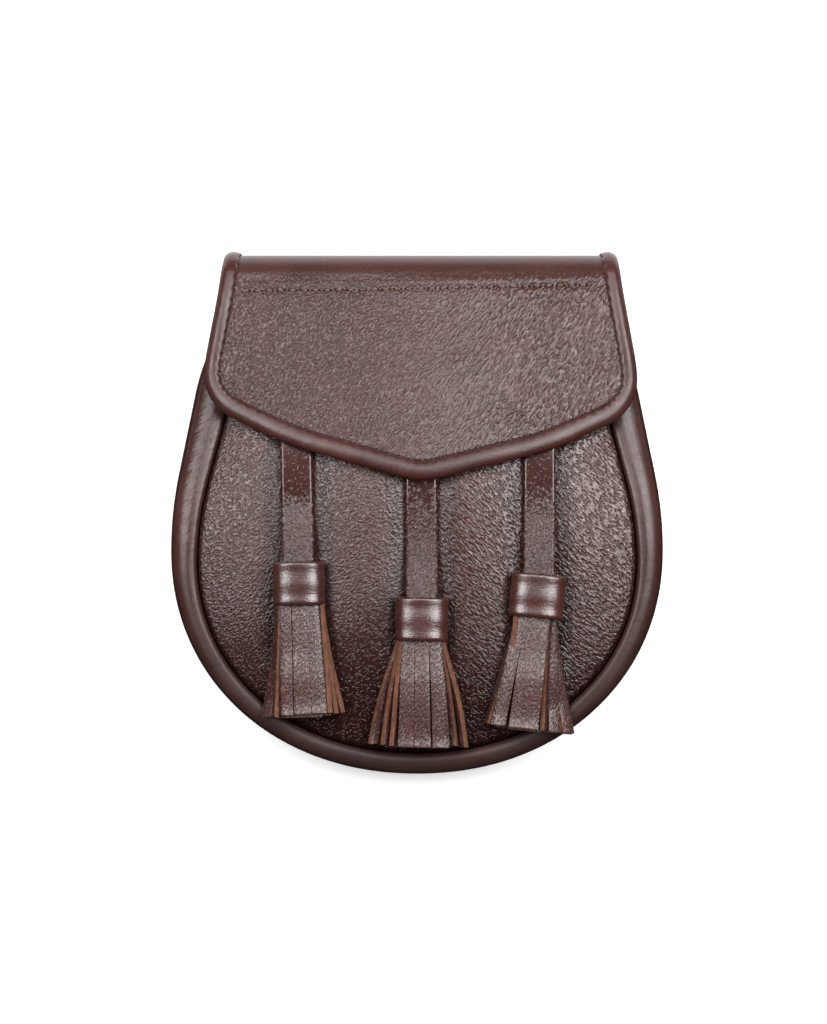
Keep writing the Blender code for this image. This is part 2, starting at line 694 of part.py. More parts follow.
def strip_ends(tassel):
    """The widths of the strips at their ends, and where their middles lie across the tassel."""
    widths = np.array([column[2] for column in FRINGE_COLUMNS])
    gap = (tassel.fringe_width - widths.sum()) / (len(widths) - 1)
    starts = np.concatenate([[0.0], np.cumsum(widths + gap)[:-1]]) - tassel.fringe_width / 2
    return widths, starts + widths / 2


def make_fringe(tassel):
    """Two layers of strips that grow out of one head inside the cap."""
    place = tassel_place(tassel)
    columns = len(FRINGE_COLUMNS)
    end_widths, end_middles = strip_ends(tassel)
    bottom = FRINGE_HEAD_ABOVE_CAP_END - CAP_LENGTH
    layer_depth = FRINGE_HEAD_DEPTH / FRINGE_LAYERS

    def rest_height(x, y, layer):
        """The height of a strip's middle above the tassel's axis, where the strip lies on the pouch."""
        flat = place @ Vector((x, y, 0.0))
        lowest = float(support_height(np.array(flat.x), np.array(flat.y))) + STRIP_CLEARANCE
        return lowest + layer_depth * LAYERS_CLOSE_TO * (layer + 0.5) - flat.z

    form = fringe_head(tassel)
    strips = sorted(form.faces, key=lambda face: (face.calc_center_median().z > 0, face.calc_center_median().x))
    head = bmesh.ops.extrude_face_region(form, geom=list(form.faces), use_keep_orig=True)
    raised = [item for item in head["geom"] if isinstance(item, bmesh.types.BMVert)]
    bmesh.ops.translate(form, verts=raised, vec=(0.0, FRINGE_HEAD_IN_CAP - FRINGE_HEAD_ABOVE_CAP_END, 0.0))
    bmesh.ops.inset_individual(form, faces=strips, thickness=STRIP_INSET, use_even_offset=True)
    middles = [face.calc_center_median() for face in strips]
    widths = [max(vert.co.x for vert in face.verts) * 2 - middle.x * 2 for face, middle in zip(strips, middles)]
    depths = [max(vert.co.z for vert in face.verts) * 2 - middle.z * 2 for face, middle in zip(strips, middles)]
    for station in range(1, FRINGE_STATIONS + 1):
        share = station / FRINGE_STATIONS
        settled = float(ease(share, 0.0, STRIPS_SETTLE_WITHIN))
        thinned = float(ease(share, 0.0, STRIPS_THIN_WITHIN))
        y = bottom - tassel.fringe_length * share
        ends = [face.calc_center_median() for face in strips]
        made = bmesh.ops.extrude_discrete_faces(form, faces=strips)["faces"]
        strips = [min(made, key=lambda face: (face.calc_center_median() - end).length) for end in ends]
        for index, face in enumerate(strips):
            layer, column = divmod(index, columns)
            width = widths[index] + (end_widths[column] - widths[index]) * share
            if column in (0, columns - 1):
                depth = depths[index] + (layer_depth * ON_EDGE_SHARE_OF_LAYER - depths[index]) * settled
            else:
                depth = depths[index] + (STRIP_LEATHER - depths[index]) * thinned
            x = middles[index].x + (end_middles[column] - middles[index].x) * share**FRINGE_SPREAD_POWER
            z = middles[index].z + (rest_height(x, y, layer) - middles[index].z) * settled
            middle = face.calc_center_median()
            for vert in face.verts:
                side_x = math.copysign(width / 2, vert.co.x - middle.x)
                side_z = math.copysign(depth / 2, vert.co.z - middle.z)
                vert.co = (x + side_x, y, z + side_z)
    outwards(form)
    return add(f"tassel_fringe_{tassel.side}", form, CUT_STRIPS, place)


def make_snap_stud():
    form = bmesh.new()
    bmesh.ops.create_cone(
        form, cap_ends=True, segments=20, radius1=STUD_RADIUS, radius2=STUD_RADIUS, depth=STUD_THICKNESS
    )
    below = float(panel_height(np.array(0.0), np.array(STUD_Y)))
    above = float(bent_over(np.array(0.0), np.array(STUD_Y))[2]) - FLAP_LEATHER / 2
    place = Matrix.Translation((0.0, STUD_Y, (below + above) / 2)) @ Matrix.Rotation(STUD_TILT, 4, "X")
    made = add("snap_stud", form, STUD_METAL, place)
    edge = made.modifiers.new("edge", "BEVEL")
    edge.width = STUD_EDGE
    edge.segments = 1
    edge.limit_method = "ANGLE"
    return made


def make_belt_loop(side, x):
    rows = np.array([row[1:] for row in LOOP_PROFILE])

    def place(across, along):
        row = np.round(along * (len(rows) - 1)).astype(int)
        return np.stack([x + (across - 0.5) * LOOP_WIDTH, rows[row, 0], rows[row, 1]], axis=1)

    form = grid(1, len(rows) - 1, place)
    return thicken(add(f"belt_loop_{side}", form, PLAIN_BACK), LOOP_LEATHER, -1.0)


def clear_scene():
    for leftover in list(bpy.data.objects):
        bpy.data.objects.remove(leftover, do_unlink=True)


def main():
    clear_scene()
    bpy.context.scene.collection.children.link(bpy.data.collections.new(OBJECT_NAME))
    make_back_panel()
    make_gusset()
    make_front_panel()
    make_flap()
    make_flap_binding()
    make_snap_stud()
    for tassel in TASSELS:
        make_strap(tassel)
        make_cap(tassel)
        make_fringe(tassel)
    make_belt_loop("left", -LOOP_X)
    make_belt_loop("right", LOOP_X)


main()
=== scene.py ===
"""A leather sporran pouch that lies on its back, with its flap closed and three tassels on its front.

Metres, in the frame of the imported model: +X is the right of a front view, +Y its top and +Z its front.
Each piece is made again here as a fine surface in the place of the plain solid that it replaces, and
only the sewing is new.
"""

import math
from collections import namedtuple

import bmesh
import bpy
import numpy as np
from mathutils import Matrix, Vector, noise


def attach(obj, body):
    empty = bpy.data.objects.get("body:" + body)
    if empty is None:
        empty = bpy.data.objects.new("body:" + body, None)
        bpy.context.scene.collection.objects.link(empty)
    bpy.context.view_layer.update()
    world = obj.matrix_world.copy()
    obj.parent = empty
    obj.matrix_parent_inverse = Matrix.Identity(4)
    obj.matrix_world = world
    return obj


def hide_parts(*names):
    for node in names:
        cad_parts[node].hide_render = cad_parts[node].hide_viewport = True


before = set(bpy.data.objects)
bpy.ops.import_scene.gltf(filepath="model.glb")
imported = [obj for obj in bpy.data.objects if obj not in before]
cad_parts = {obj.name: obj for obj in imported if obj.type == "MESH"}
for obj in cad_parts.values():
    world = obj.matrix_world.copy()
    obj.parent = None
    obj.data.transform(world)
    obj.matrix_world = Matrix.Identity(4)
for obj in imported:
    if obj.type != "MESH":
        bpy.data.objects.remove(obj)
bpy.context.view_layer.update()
MM = 0.001
SHARP_ANGLE = math.radians(50)

# Leather, and the gaps at its seams
PANEL_LEATHER = 0.0016
FLAP_LEATHER = 0.0020
GAP = 0.0003
SEAM_GAP = 0.0004

# Outline of the pouch in a front view
HALF_WIDTH = 0.0938
WIDEST_Y = -0.0144
BOTTOM_DEPTH = 0.0854
BOTTOM_ROUNDNESS = 2.1
SHOULDER_RADIUS = 0.147
SIDE_LEAN = 0.2
MOUTH_Y = 0.0765
GUSSET_TOP_Y = 0.0840

# Front panel
CREST_Z = 0.032
CREST_DROP_TO_MOUTH = 0.0109
RIDGE_Z = 0.0395
RIDGE_DROP_TO_MOUTH = 0.0165
RIDGE_FLAT_BELOW_Y = -0.005
DOME_POWER = 2.6
PANEL_BELOW_CREST = 0.0006
PANEL_TURN_RADIUS = 0.0014
PANEL_MIDDLE_Y = 0.030
PANEL_SWELL = 0.0011
PANEL_SWELL_PITCH = 0.020
SHADED_SEAM_WIDTH = 0.0032

# The roll between the outline and the front seam
ROLL_WIDTH = 0.0103
ROLL_WIDENING = 0.0445
ROLL_WIDENING_GROWTH = 0.21
ROLL_WIDENS_FOR = 0.060
TUCK_START_Y = 0.046
TUCK_END_Y = 0.077
TUCK_Z = 0.0065
TUCK_INWARDS = 0.0050
FULL_SIDE_HEIGHT = 0.0240
ROLL_SWELL = 0.0007
GUSSET_SECTION = (
    # (line, share of roll width, inset, share of the height, lift)
    ("seam allowance", 1.0, 0.0018, 1.0, -0.0076),
    ("front seam", 1.0, -0.0001, 1.0, -0.0066),
    ("seam edge", 1.0, 0.0, 1.0, -0.0030),
    ("lip", 1.0, -0.0003, 1.0, -0.0013),
    ("inner edge", 1.0, -0.0013, 1.0, -0.0003),
    ("inner slope", 0.72, 0.0, 1.0, 0.0),
    ("crest", 0.56, 0.0, 1.0, -0.0001),
    ("outer slope", 0.34, 0.0, 1.0, -0.0007),
    ("outer turn", 0.14, 0.0, 1.0, -0.0021),
    ("shoulder", 0.035, 0.0, 1.0, -0.0046),
    ("upper side", 0.0, 0.0, 1.0, -0.0082),
    ("side", 0.0, 0.0, 0.5, 0.0),
    ("lower side", 0.0, 0.0011, 0.22, 0.0),
    ("back shoulder", 0.0, 0.0032, 0.0, 0.0020),
    ("foot outer edge", 0.0, 0.0056, 0.0, 0.0),
    ("foot inner edge", 0.0, 0.0086, 0.0, 0.0),
    ("back seam", 0.0, 0.0104, 0.0, 0.0020),
    ("back seam edge", 0.0, 0.0108, 0.0, 0.0070),
)

# Back panel
BACK_Z = 0.0060
BACK_EDGE_INSET = 0.0114
BACK_TOP_NARROWING = 0.0008
BACK_STEP_START_Y = 0.0660
BACK_STEP_END_Y = 0.0780
BACK_TAB_END_Y = 0.0820
BACK_TAB_HALF_WIDTH = 0.0640
BACK_SWELL = 0.0004
BACK_SWELL_PITCH = 0.030

# Flap and its binding
Corner = namedtuple("Corner", "name half_width y radius")
FOLD_Y = 0.0869
FOLD_Z = 0.0135
FOLD_RADIUS = 0.0105
FOLD_TURN = math.radians(163.5)
FLAP_CURVE = 0.36
FLAP_DROOP = 0.0095
FLAP_DROOP_POWER = 2.4
FLAP_DROOP_LENGTH = 0.070
FLAP_SKEW = 0.018
FLAP_SHIFT_X = 0.0014
FLAP_LAP = 0.0090
FLAP_TIP = Corner("tip", 0.0, 0.0112, 0.029)
FLAP_CORNERS = (
    Corner("lower bend", 0.0494, 0.0243, 0.120),
    Corner("lower corner", 0.0836, 0.0400, 0.019),
    Corner("side bend", 0.0820, 0.0574, 0.080),
)
FLAP_HALF_WIDTH = 0.0836
FLAP_CORNER_ENDS_Y = 0.0440
FLAP_HALF_WIDTH_AT_FOLD = 0.0761
FLAP_FOLD_CORNER_RADIUS = 0.300
FLAP_HALF_WIDTH_AT_LAP = 0.0725
FLAP_SWELL = 0.0009
FLAP_SWELL_PITCH = 0.026
BINDING_SIDE_WIDTH = 0.0062
BINDING_LOWER_WIDTH = 0.0075
BINDING_NARROWS_FROM_Y = 0.034
BINDING_NARROWS_TO_Y = 0.052
BINDING_SLOT_DEPTH = 0.0020
BINDING_FACE = (
    # (line, share of the width from the outer edge, height above the middle of the flap's leather)
    ("upper lip", 1.0, 0.00150),
    ("upper inner slope", 0.82, 0.00215),
    ("upper crest", 0.42, 0.0024),
    ("upper outer slope", 0.10, 0.0015),
    ("outer edge", 0.0, 0.0),
    ("lower outer slope", 0.10, -0.0015),
    ("lower crest", 0.42, -0.0024),
    ("lower inner slope", 0.82, -0.0021),
    ("lower lip", 1.0, -0.0016),
)
BINDING_SLOT_HEIGHT = 0.0013
BINDING_SWELL = 0.00016
BINDING_SWELL_PITCH = 0.012
STITCH_PULLS_LIP_DOWN = 0.00020
STITCH_PULLS_LIP_OUT = 0.00014

# Straps and tassels
TROUGH_DEPTH = 0.0021
TROUGH_WIDTH = 0.0100
TROUGH_TOP_Y = 0.045
TROUGH_TOP_FADE = 0.020
TROUGH_BOTTOM_Y = -0.050
TROUGH_BOTTOM_FADE = 0.015
STRAP_VALLEY_OFFSET = 0.0095
STRAP_WIDTH = 0.0120
STRAP_LEATHER = 0.0015
STRAP_CLEARANCE = 0.0006
STRAP_LIFT_LENGTH = 0.022
STRAP_LIFT_AT_FLAP = 0.0009
STRAP_RISES_FOR = 0.024
STRAP_UNDER_FLAP = 0.0150
STRAP_INTO_CAP = 0.0035
STRAP_CURL = 0.00005
STRAP_SWELL = 0.0004
STRAP_SWELL_PITCH = 0.014
CAP_LENGTH = 0.0162
CAP_DEPTH = 0.0112
CAP_LEATHER = 0.0015
CAP_ROUNDNESS = 2.45
CAP_DENT = 0.00014
CAP_PROFILE = (
    # (line, share of the cap's length from its top edge, distance on from there, inset)
    ("top edge, inside", 0.0, 0.0006, 0.0018),
    ("top edge, inner round", 0.0, 0.0000, 0.0013),
    ("top edge", 0.0, -0.0001, 0.0008),
    ("top edge, outer round", 0.0, 0.0003, 0.0003),
    ("upper shoulder", 0.0, 0.0012, 0.0001),
    ("upper body", 0.25, 0.0, 0.0003),
    ("middle", 0.5, 0.0, 0.0),
    ("lower body", 0.75, 0.0, 0.0003),
    ("lower shoulder", 1.0, -0.0012, 0.0001),
    ("bottom edge, outer round", 1.0, -0.0003, 0.0004),
    ("bottom edge", 1.0, 0.0001, 0.0009),
    ("bottom edge, inner round", 1.0, 0.0000, 0.0014),
    ("bottom edge, inside", 1.0, -0.0006, 0.0018),
    ("middle, inside", 0.5, 0.0, 0.0016),
)
STRIP_LEATHER = 0.0019
STRIP_CURL = 0.0015
STRIP_CLEARANCE = 0.0014
STRIP_LAYER = 0.00272
STRIP_CUP = 0.00018
STRIP_SWAY = 0.0002
STRIP_WAVE = 0.0004
STRIP_LEAVES_CAP_AT = 0.115
STRIP_STARTS_IN_CAP = 0.006
STRIP_PART_IN_CAP = 0.13
STRIP_LIES_UP_TO = 0.0022
STRIP_ROUNDING = 0.0001
Tassel = namedtuple(
    "Tassel", "side x cap_top_y strap_top_x strap_top_y tilt_degrees cap_width fringe_length"
)
TASSELS = (
    Tassel("left", -0.0449, -0.0189, -0.0462, 0.0400, -1.0, 0.0200, 0.0420),
    Tassel("centre", 0.0019, -0.0324, 0.0015, 0.0270, 1.0, 0.0204, 0.0402),
    Tassel("right", 0.0463, -0.0236, 0.0466, 0.0380, 5.5, 0.0210, 0.0425),
)

# Strips of the tassels. x and width are at the cap and at the end, depth is the place between the cap's
# back wall and its front wall, layer counts up from what the strips lie on, and turn is in degrees: 0
# shows the grained face, more turns that face to the left, and 90 or -90 shows the cut edge. bow swings
# the middle of the strip sideways.
Strip = namedtuple("Strip", "x end_x width end_width depth layer turn end_turn bow length")
STRIPS = {
    "left": (
        Strip(-0.0020, -0.0040, 0.0080, 0.0110, 0.16, 0.2, 0, 3, 0.0000, 1.012),
        Strip(0.0030, 0.0060, 0.0080, 0.0110, 0.16, 0.2, 0, -3, 0.0000, 1.004),
        Strip(-0.0070, -0.0134, 0.0040, 0.0054, 0.40, 0.9, 30, 48, 0.0000, 0.992),
        Strip(-0.0086, -0.0107, 0.0036, 0.0042, 0.70, 1.9, 62, 72, 0.0000, 1.006),
        Strip(0.0000, 0.0010, 0.0110, 0.0140, 0.55, 1.7, 0, 2, 0.0000, 1.014),
        Strip(-0.0052, -0.0053, 0.0044, 0.0050, 0.97, 2.9, 10, 13, 0.0000, 0.990),
        Strip(-0.0002, 0.0007, 0.0054, 0.0066, 1.00, 3.0, 3, 5, 0.0002, 0.982),
        Strip(0.0050, 0.0071, 0.0048, 0.0062, 0.97, 2.8, -4, -8, 0.0002, 0.976),
        Strip(0.0072, 0.0099, 0.0034, 0.0042, 0.80, 2.1, 66, 80, 0.0002, 0.976),
        Strip(0.0074, 0.0121, 0.0034, 0.0042, 0.56, 1.5, 66, 74, 0.0001, 0.984),
        Strip(0.0072, 0.0144, 0.0034, 0.0042, 0.34, 0.9, 60, 68, -0.0002, 0.980),
    ),
    "centre": (
        Strip(-0.0020, -0.0050, 0.0080, 0.0110, 0.16, 0.2, 0, 3, 0.0000, 1.006),
        Strip(0.0036, 0.0060, 0.0080, 0.0110, 0.16, 0.2, 0, -3, 0.0000, 1.000),
        Strip(-0.0070, -0.0166, 0.0042, 0.0054, 0.34, 0.7, -34, -38, -0.0016, 0.985),
        Strip(-0.0066, -0.0120, 0.0040, 0.0050, 0.56, 1.3, -50, -56, -0.0008, 0.990),
        Strip(-0.0064, -0.0092, 0.0036, 0.0042, 0.76, 1.9, -66, -72, -0.0002, 0.998),
        Strip(0.0000, 0.0000, 0.0110, 0.0130, 0.55, 1.7, 0, 2, 0.0000, 1.010),
        Strip(-0.0050, -0.0052, 0.0050, 0.0060, 0.97, 2.8, 4, 4, 0.0000, 1.000),
        Strip(0.0002, 0.0012, 0.0052, 0.0064, 1.00, 2.9, 0, 2, 0.0000, 1.000),
        Strip(0.0053, 0.0083, 0.0048, 0.0066, 0.97, 2.8, -10, -13, 0.0004, 1.004),
        Strip(0.0062, 0.0118, 0.0040, 0.0050, 0.60, 1.5, 40, 34, 0.0006, 0.990),
        Strip(0.0066, 0.0158, 0.0038, 0.0052, 0.44, 0.9, 66, 62, 0.0018, 1.000),
    ),
    "right": (
        Strip(-0.0030, -0.0060, 0.0080, 0.0110, 0.16, 0.2, 0, 3, 0.0000, 1.004),
        Strip(0.0030, 0.0060, 0.0080, 0.0110, 0.16, 0.2, 0, -3, 0.0000, 1.004),
        Strip(-0.0068, -0.0148, 0.0038, 0.0048, 0.40, 0.8, 66, 76, -0.0005, 0.982),
        Strip(0.0066, 0.0172, 0.0038, 0.0050, 0.24, 0.4, -24, -34, 0.0002, 1.000),
        Strip(0.0060, 0.0120, 0.0042, 0.0054, 0.44, 1.0, -14, -24, 0.0004, 0.998),
        Strip(0.0000, 0.0000, 0.0110, 0.0130, 0.50, 1.4, 0, 2, 0.0000, 1.008),
        Strip(-0.0060, -0.0072, 0.0036, 0.0042, 0.72, 1.9, -78, -84, 0.0000, 0.988),
        Strip(0.0058, 0.0082, 0.0038, 0.0046, 0.66, 1.6, -64, -72, 0.0002, 0.992),
        Strip(-0.0058, -0.0102, 0.0042, 0.0056, 0.94, 2.7, 13, 13, -0.0002, 0.985),
        Strip(0.0006, -0.0005, 0.0096, 0.0112, 1.00, 3.0, -3, -4, 0.0000, 0.992),
    ),
}

# Snap and belt loops
STUD_Y = 0.0420
STUD_TILT = math.radians(-14.3)
STUD_PROFILE = (
    # (line, radius, height)
    ("top of the cap", 0.0, 0.0007),
    ("cap's edge", 0.0022, 0.0007),
    ("cap's foot", 0.0026, 0.0005),
    ("rim", 0.0050, 0.0005),
    ("rim's shoulder", 0.0057, 0.0003),
    ("rim's edge", 0.0060, 0.0),
    ("lower shoulder", 0.0057, -0.0003),
    ("base", 0.0052, -0.0006),
    ("post's foot", 0.0026, -0.0007),
    ("middle of the base", 0.0, -0.0007),
)
LOOP_X = 0.0400
LOOP_WIDTH = 0.0200
LOOP_LEATHER = 0.0015
LOOP_ROUNDING = 0.0003
LOOP_PROFILE = (
    # (place, y, height of the face that looks away from the pouch)
    ("upper foot end", 0.0660, 0.0042),
    ("upper foot", 0.0620, 0.0042),
    ("upper bend", 0.0592, 0.0000),
    ("middle", 0.0450, 0.0000),
    ("lower bend", 0.0308, 0.0000),
    ("lower foot", 0.0280, 0.0042),
    ("lower foot end", 0.0240, 0.0042),
)

# Sewing. rise is the height of a stitch's bow, and share its part of the pitch.
Sewing = namedtuple("Sewing", "pitch rise share")
BINDING_SEWING = Sewing(0.0043, 0.00035, 0.60)
FLAP_ROW_SEWING = Sewing(0.0044, 0.00045, 0.56)
BACK_SEWING = Sewing(0.0045, 0.00042, 0.66)
LOOP_SEWING = Sewing(0.0041, 0.00042, 0.66)
THREAD_RADIUS = 0.00030
STITCH_WOBBLE = 0.06
HOLE_RADIUS = 0.00052
HOLE_LIFT = 0.00006
FLAP_ROW_Y = 0.0853
FLAP_ROW_SLOPE = 0.0192
FLAP_ROW_SAG = 0.0003
FLAP_ROW_SAG_HALF_LENGTH = 0.065
FLAP_ROW_END_GAP = 0.0012
FLAP_ROW_LIFT = 0.00005
FLAP_ROW_RELIEF = (
    # (line, distance up from the row, half width, height)
    ("dip along the row", 0.0, 0.0010, -0.00030),
    ("band above the row", 0.0022, 0.0011, 0.00034),
)
LAP_ROW_INSET = 0.0035
LAP_ROW_SHARE = 0.96
LAP_ROW_LIFT = 0.00004
BINDING_STITCH_INSET = 0.0004
BINDING_STITCH_HEIGHT = 0.0015
BACK_SEAM_INSET = 0.0030
BACK_SEAM_ENDS_Y = 0.0640
BACK_SEAM_LIFT = 0.00003
LOOP_ROWS = (("upper", 0.0640), ("lower", 0.0260))
LOOP_ROW_HALF_LENGTH = 0.0082
LOOP_ROW_Z = 0.00415

# Paper, lights and camera. The camera is straight above, with the photograph's frame.
FLOOR_REACH = 4.0
FLOOR_FOLD_Y = 0.104
PAPER_GLOW = 0.30
WORLD_LIGHT = 0.30
Light = namedtuple("Light", "name place size power")
LIGHTS = (
    # size is round the pouch, then outwards
    Light("top_softbox", (0.26, 1.05, 1.68), (1.6, 0.50), 19.5),
    Light("right_softbox", (0.90, 0.42, 1.75), (1.25, 1.0), 43.0),
    Light("left_softbox", (-0.92, 0.50, 1.72), (1.25, 0.8), 37.0),
)
FRAME_PIXELS = (827, 1024)
CAMERA_HEIGHT = 2.2
METRES_PER_PIXEL = 0.000383
SCALE_HEIGHT = 0.015
ORIGIN_PIXEL = (417.0, 512.0)
SENSOR_LONG_SIDE_MM = 36.0


# --- plain maths


def ease(value, low, high):
    """0 up to low, 1 from high on, and a smooth S between them."""
    share = np.clip((value - low) / (high - low), 0.0, 1.0)
    return share * share * (3.0 - 2.0 * share)


def columns(*values):
    """Points from their coordinates, each given for all the points."""
    return np.stack(values, axis=1)


def lengths_along(points):
    steps = np.linalg.norm(np.diff(points, axis=0), axis=1)
    return np.concatenate([[0.0], np.cumsum(steps)])


def mirrored(right_half):
    """The whole line of points from the right half of it, which starts on the plane x = 0."""
    left_half = right_half[:0:-1] * (-1.0, 1.0)
    return np.concatenate([left_half, right_half])


def normals_to_left(points):
    ahead = np.gradient(points, axis=0)
    turned = columns(-ahead[:, 1], ahead[:, 0])
    return turned / np.linalg.norm(turned, axis=1, keepdims=True)


def numbers(table):
    """A table's rows without the names of its lines."""
    return [row[1:] for row in table]


def nearest(share, steps):
    """The number of the step, from 0 to steps, at which each share lies."""
    return np.round(share * steps).astype(int)


def curve_through(rows, steps):
    """A smooth curve through rows of numbers, with this many steps from each row to the next."""
    rows = np.array(rows, float)
    ends = np.concatenate([[2 * rows[0] - rows[1]], rows, [2 * rows[-1] - rows[-2]]])
    line = []
    for before, start, end, after in zip(ends, ends[1:], ends[2:], ends[3:]):
        for t in np.arange(steps) / steps:
            bend = 2 * before - 5 * start + 4 * end - after
            twist = 3 * start - before - 3 * end + after
            line.append(start + 0.5 * t * (end - before + t * (bend + t * twist)))
    return np.array([*line, rows[-1]])


def unevenness(points, pitch, seed):
    """Smooth noise from about -0.5 to 0.5 at each point, with bumps about a pitch apart."""
    shift = Vector((seed * 7.3, seed * 3.1, seed * 5.7))
    return np.array([noise.noise(Vector(point) / pitch + shift) for point in points]) * 0.5


# --- forms of the pouch


def pouch_outline():
    """The outline from the gusset's left end, round the bottom, to its right end, closely spaced."""
    turn = np.linspace(0.0, math.pi / 2, 320)
    power = 2.0 / BOTTOM_ROUNDNESS
    bottom_x = HALF_WIDTH * np.sin(turn) ** power
    bottom_y = WIDEST_Y - BOTTOM_DEPTH * np.cos(turn) ** power
    swing = np.linspace(0.0, math.atan(SIDE_LEAN), 48)[1:]
    shoulder_x = HALF_WIDTH - SHOULDER_RADIUS * (1.0 - np.cos(swing))
    shoulder_y = WIDEST_Y + SHOULDER_RADIUS * np.sin(swing)
    side_y = np.linspace(shoulder_y[-1], GUSSET_TOP_Y, 80)[1:]
    side_x = shoulder_x[-1] - SIDE_LEAN * (side_y - shoulder_y[-1])
    side_x -= TUCK_INWARDS * ease(side_y, TUCK_START_Y, GUSSET_TOP_Y)
    across = np.concatenate([bottom_x, shoulder_x, side_x])
    up = np.concatenate([bottom_y, shoulder_y, side_y])
    return mirrored(columns(across, up))


OUTLINE = pouch_outline()
OUTLINE_LENGTHS = lengths_along(OUTLINE)
OUTLINE_INWARD = normals_to_left(OUTLINE)


def on_outline(share, inset):
    """The point at this share of the outline's length, moved inwards by inset."""
    length = share * OUTLINE_LENGTHS[-1]
    x, y = (np.interp(length, OUTLINE_LENGTHS, OUTLINE[:, axis]) for axis in (0, 1))
    in_x, in_y = (np.interp(length, OUTLINE_LENGTHS, OUTLINE_INWARD[:, axis]) for axis in (0, 1))
    return x + in_x * inset, y + in_y * inset


def outline_y(share):
    return np.interp(share * OUTLINE_LENGTHS[-1], OUTLINE_LENGTHS, OUTLINE[:, 1])


def mouth_share():
    """The share of the outline at which the left end of the front seam lies."""
    left_side = slice(0, len(OUTLINE) // 2)
    return np.interp(-MOUTH_Y, -OUTLINE[left_side, 1], OUTLINE_LENGTHS[left_side]) / OUTLINE_LENGTHS[-1]


def roll_width(y):
    above = np.minimum(y - WIDEST_Y, ROLL_WIDENS_FOR)
    return ROLL_WIDTH + ROLL_WIDENING * above + ROLL_WIDENING_GROWTH * above * above


def crest_height(y):
    return CREST_Z - CREST_DROP_TO_MOUTH * ease(y, WIDEST_Y, MOUTH_Y)


def tuck_height(y):
    return TUCK_Z * ease(y, TUCK_START_Y, TUCK_END_Y)


def ridge_height(y):
    above = np.maximum(y - RIDGE_FLAT_BELOW_Y, 0.0) / (MOUTH_Y - RIDGE_FLAT_BELOW_Y)
    return RIDGE_Z - RIDGE_DROP_TO_MOUTH * above * above


def half_width_at(y):
    right = OUTLINE[len(OUTLINE) // 2 :]
    upper = right[right[:, 1] >= WIDEST_Y]
    return np.interp(y, upper[:, 1], upper[:, 0])


def seam_at(share):
    """The point of the front seam at this share of the outline's length."""
    return on_outline(share, roll_width(outline_y(share)) + SEAM_GAP)


def share_to_seam(x, y):
    """0 at the middle of the front panel and 1 at its seam."""
    roll = roll_width(y)
    across = np.abs(x) / (half_width_at(np.maximum(y, WIDEST_Y)) - roll)
    down = np.maximum(WIDEST_Y - y, 0.0) / (BOTTOM_DEPTH - roll)
    return (across**BOTTOM_ROUNDNESS + down**BOTTOM_ROUNDNESS) ** (1.0 / BOTTOM_ROUNDNESS)


def distance_to_seam(x, y):
    seam_x, seam_y = seam_at(np.linspace(0.0, 1.0, 800))
    return np.sqrt(((x[..., None] - seam_x) ** 2 + (y[..., None] - seam_y) ** 2).min(axis=-1))


def trough(x, y):
    """How far the straps press the front panel in."""
    starts = ease(y, TROUGH_BOTTOM_Y - TROUGH_BOTTOM_FADE, TROUGH_BOTTOM_Y)
    ends = 1.0 - ease(y, TROUGH_TOP_Y, TROUGH_TOP_Y + TROUGH_TOP_FADE)
    depth = sum(TROUGH_DEPTH * np.exp(-(((x - tassel.x) / TROUGH_WIDTH) ** 2)) for tassel in TASSELS)
    return depth * starts * ends


def dome_height(x, y):
    edge = crest_height(y) - PANEL_BELOW_CREST
    rise = ridge_height(y) - edge
    return edge + rise * (1.0 - np.minimum(share_to_seam(x, y), 1.0) ** DOME_POWER) - trough(x, y)


def panel_height(x, y):
    """The outer face of the front panel, with its edge turned down into the seam."""
    into_turn = np.clip(1.0 - distance_to_seam(x, y) / PANEL_TURN_RADIUS, 0.0, 1.0)
    return dome_height(x, y) - PANEL_TURN_RADIUS * (1.0 - np.sqrt(1.0 - into_turn * into_turn))


# --- forms of the flap


def rounded_corners(corners, steps=12):
    """A line through corners, each rounded with its own radius."""
    points = [Vector((corner.half_width, corner.y)) for corner in corners]
    line = [points[0]]
    for before, corner, after, row in zip(points, points[1:], points[2:], corners[1:]):
        back = (before - corner).normalized()
        ahead = (after - corner).normalized()
        half_turn = (math.pi - back.angle(ahead)) / 2
        reach = row.radius * math.tan(half_turn)
        middle = corner + (back + ahead).normalized() * (row.radius / math.cos(half_turn))
        start = corner + back * reach - middle
        side = 1.0 if start.cross(corner + ahead * reach - middle) > 0 else -1.0
        for step in range(steps + 1):
            line.append(middle + Matrix.Rotation(side * 2 * half_turn * step / steps, 2) @ start)
    line.append(points[-1])
    return np.array([tuple(point) for point in line])


FOLD_START_Y = FOLD_Y + FOLD_RADIUS * math.sin(FOLD_TURN)
FOLD_LENGTH = FOLD_RADIUS * FOLD_TURN


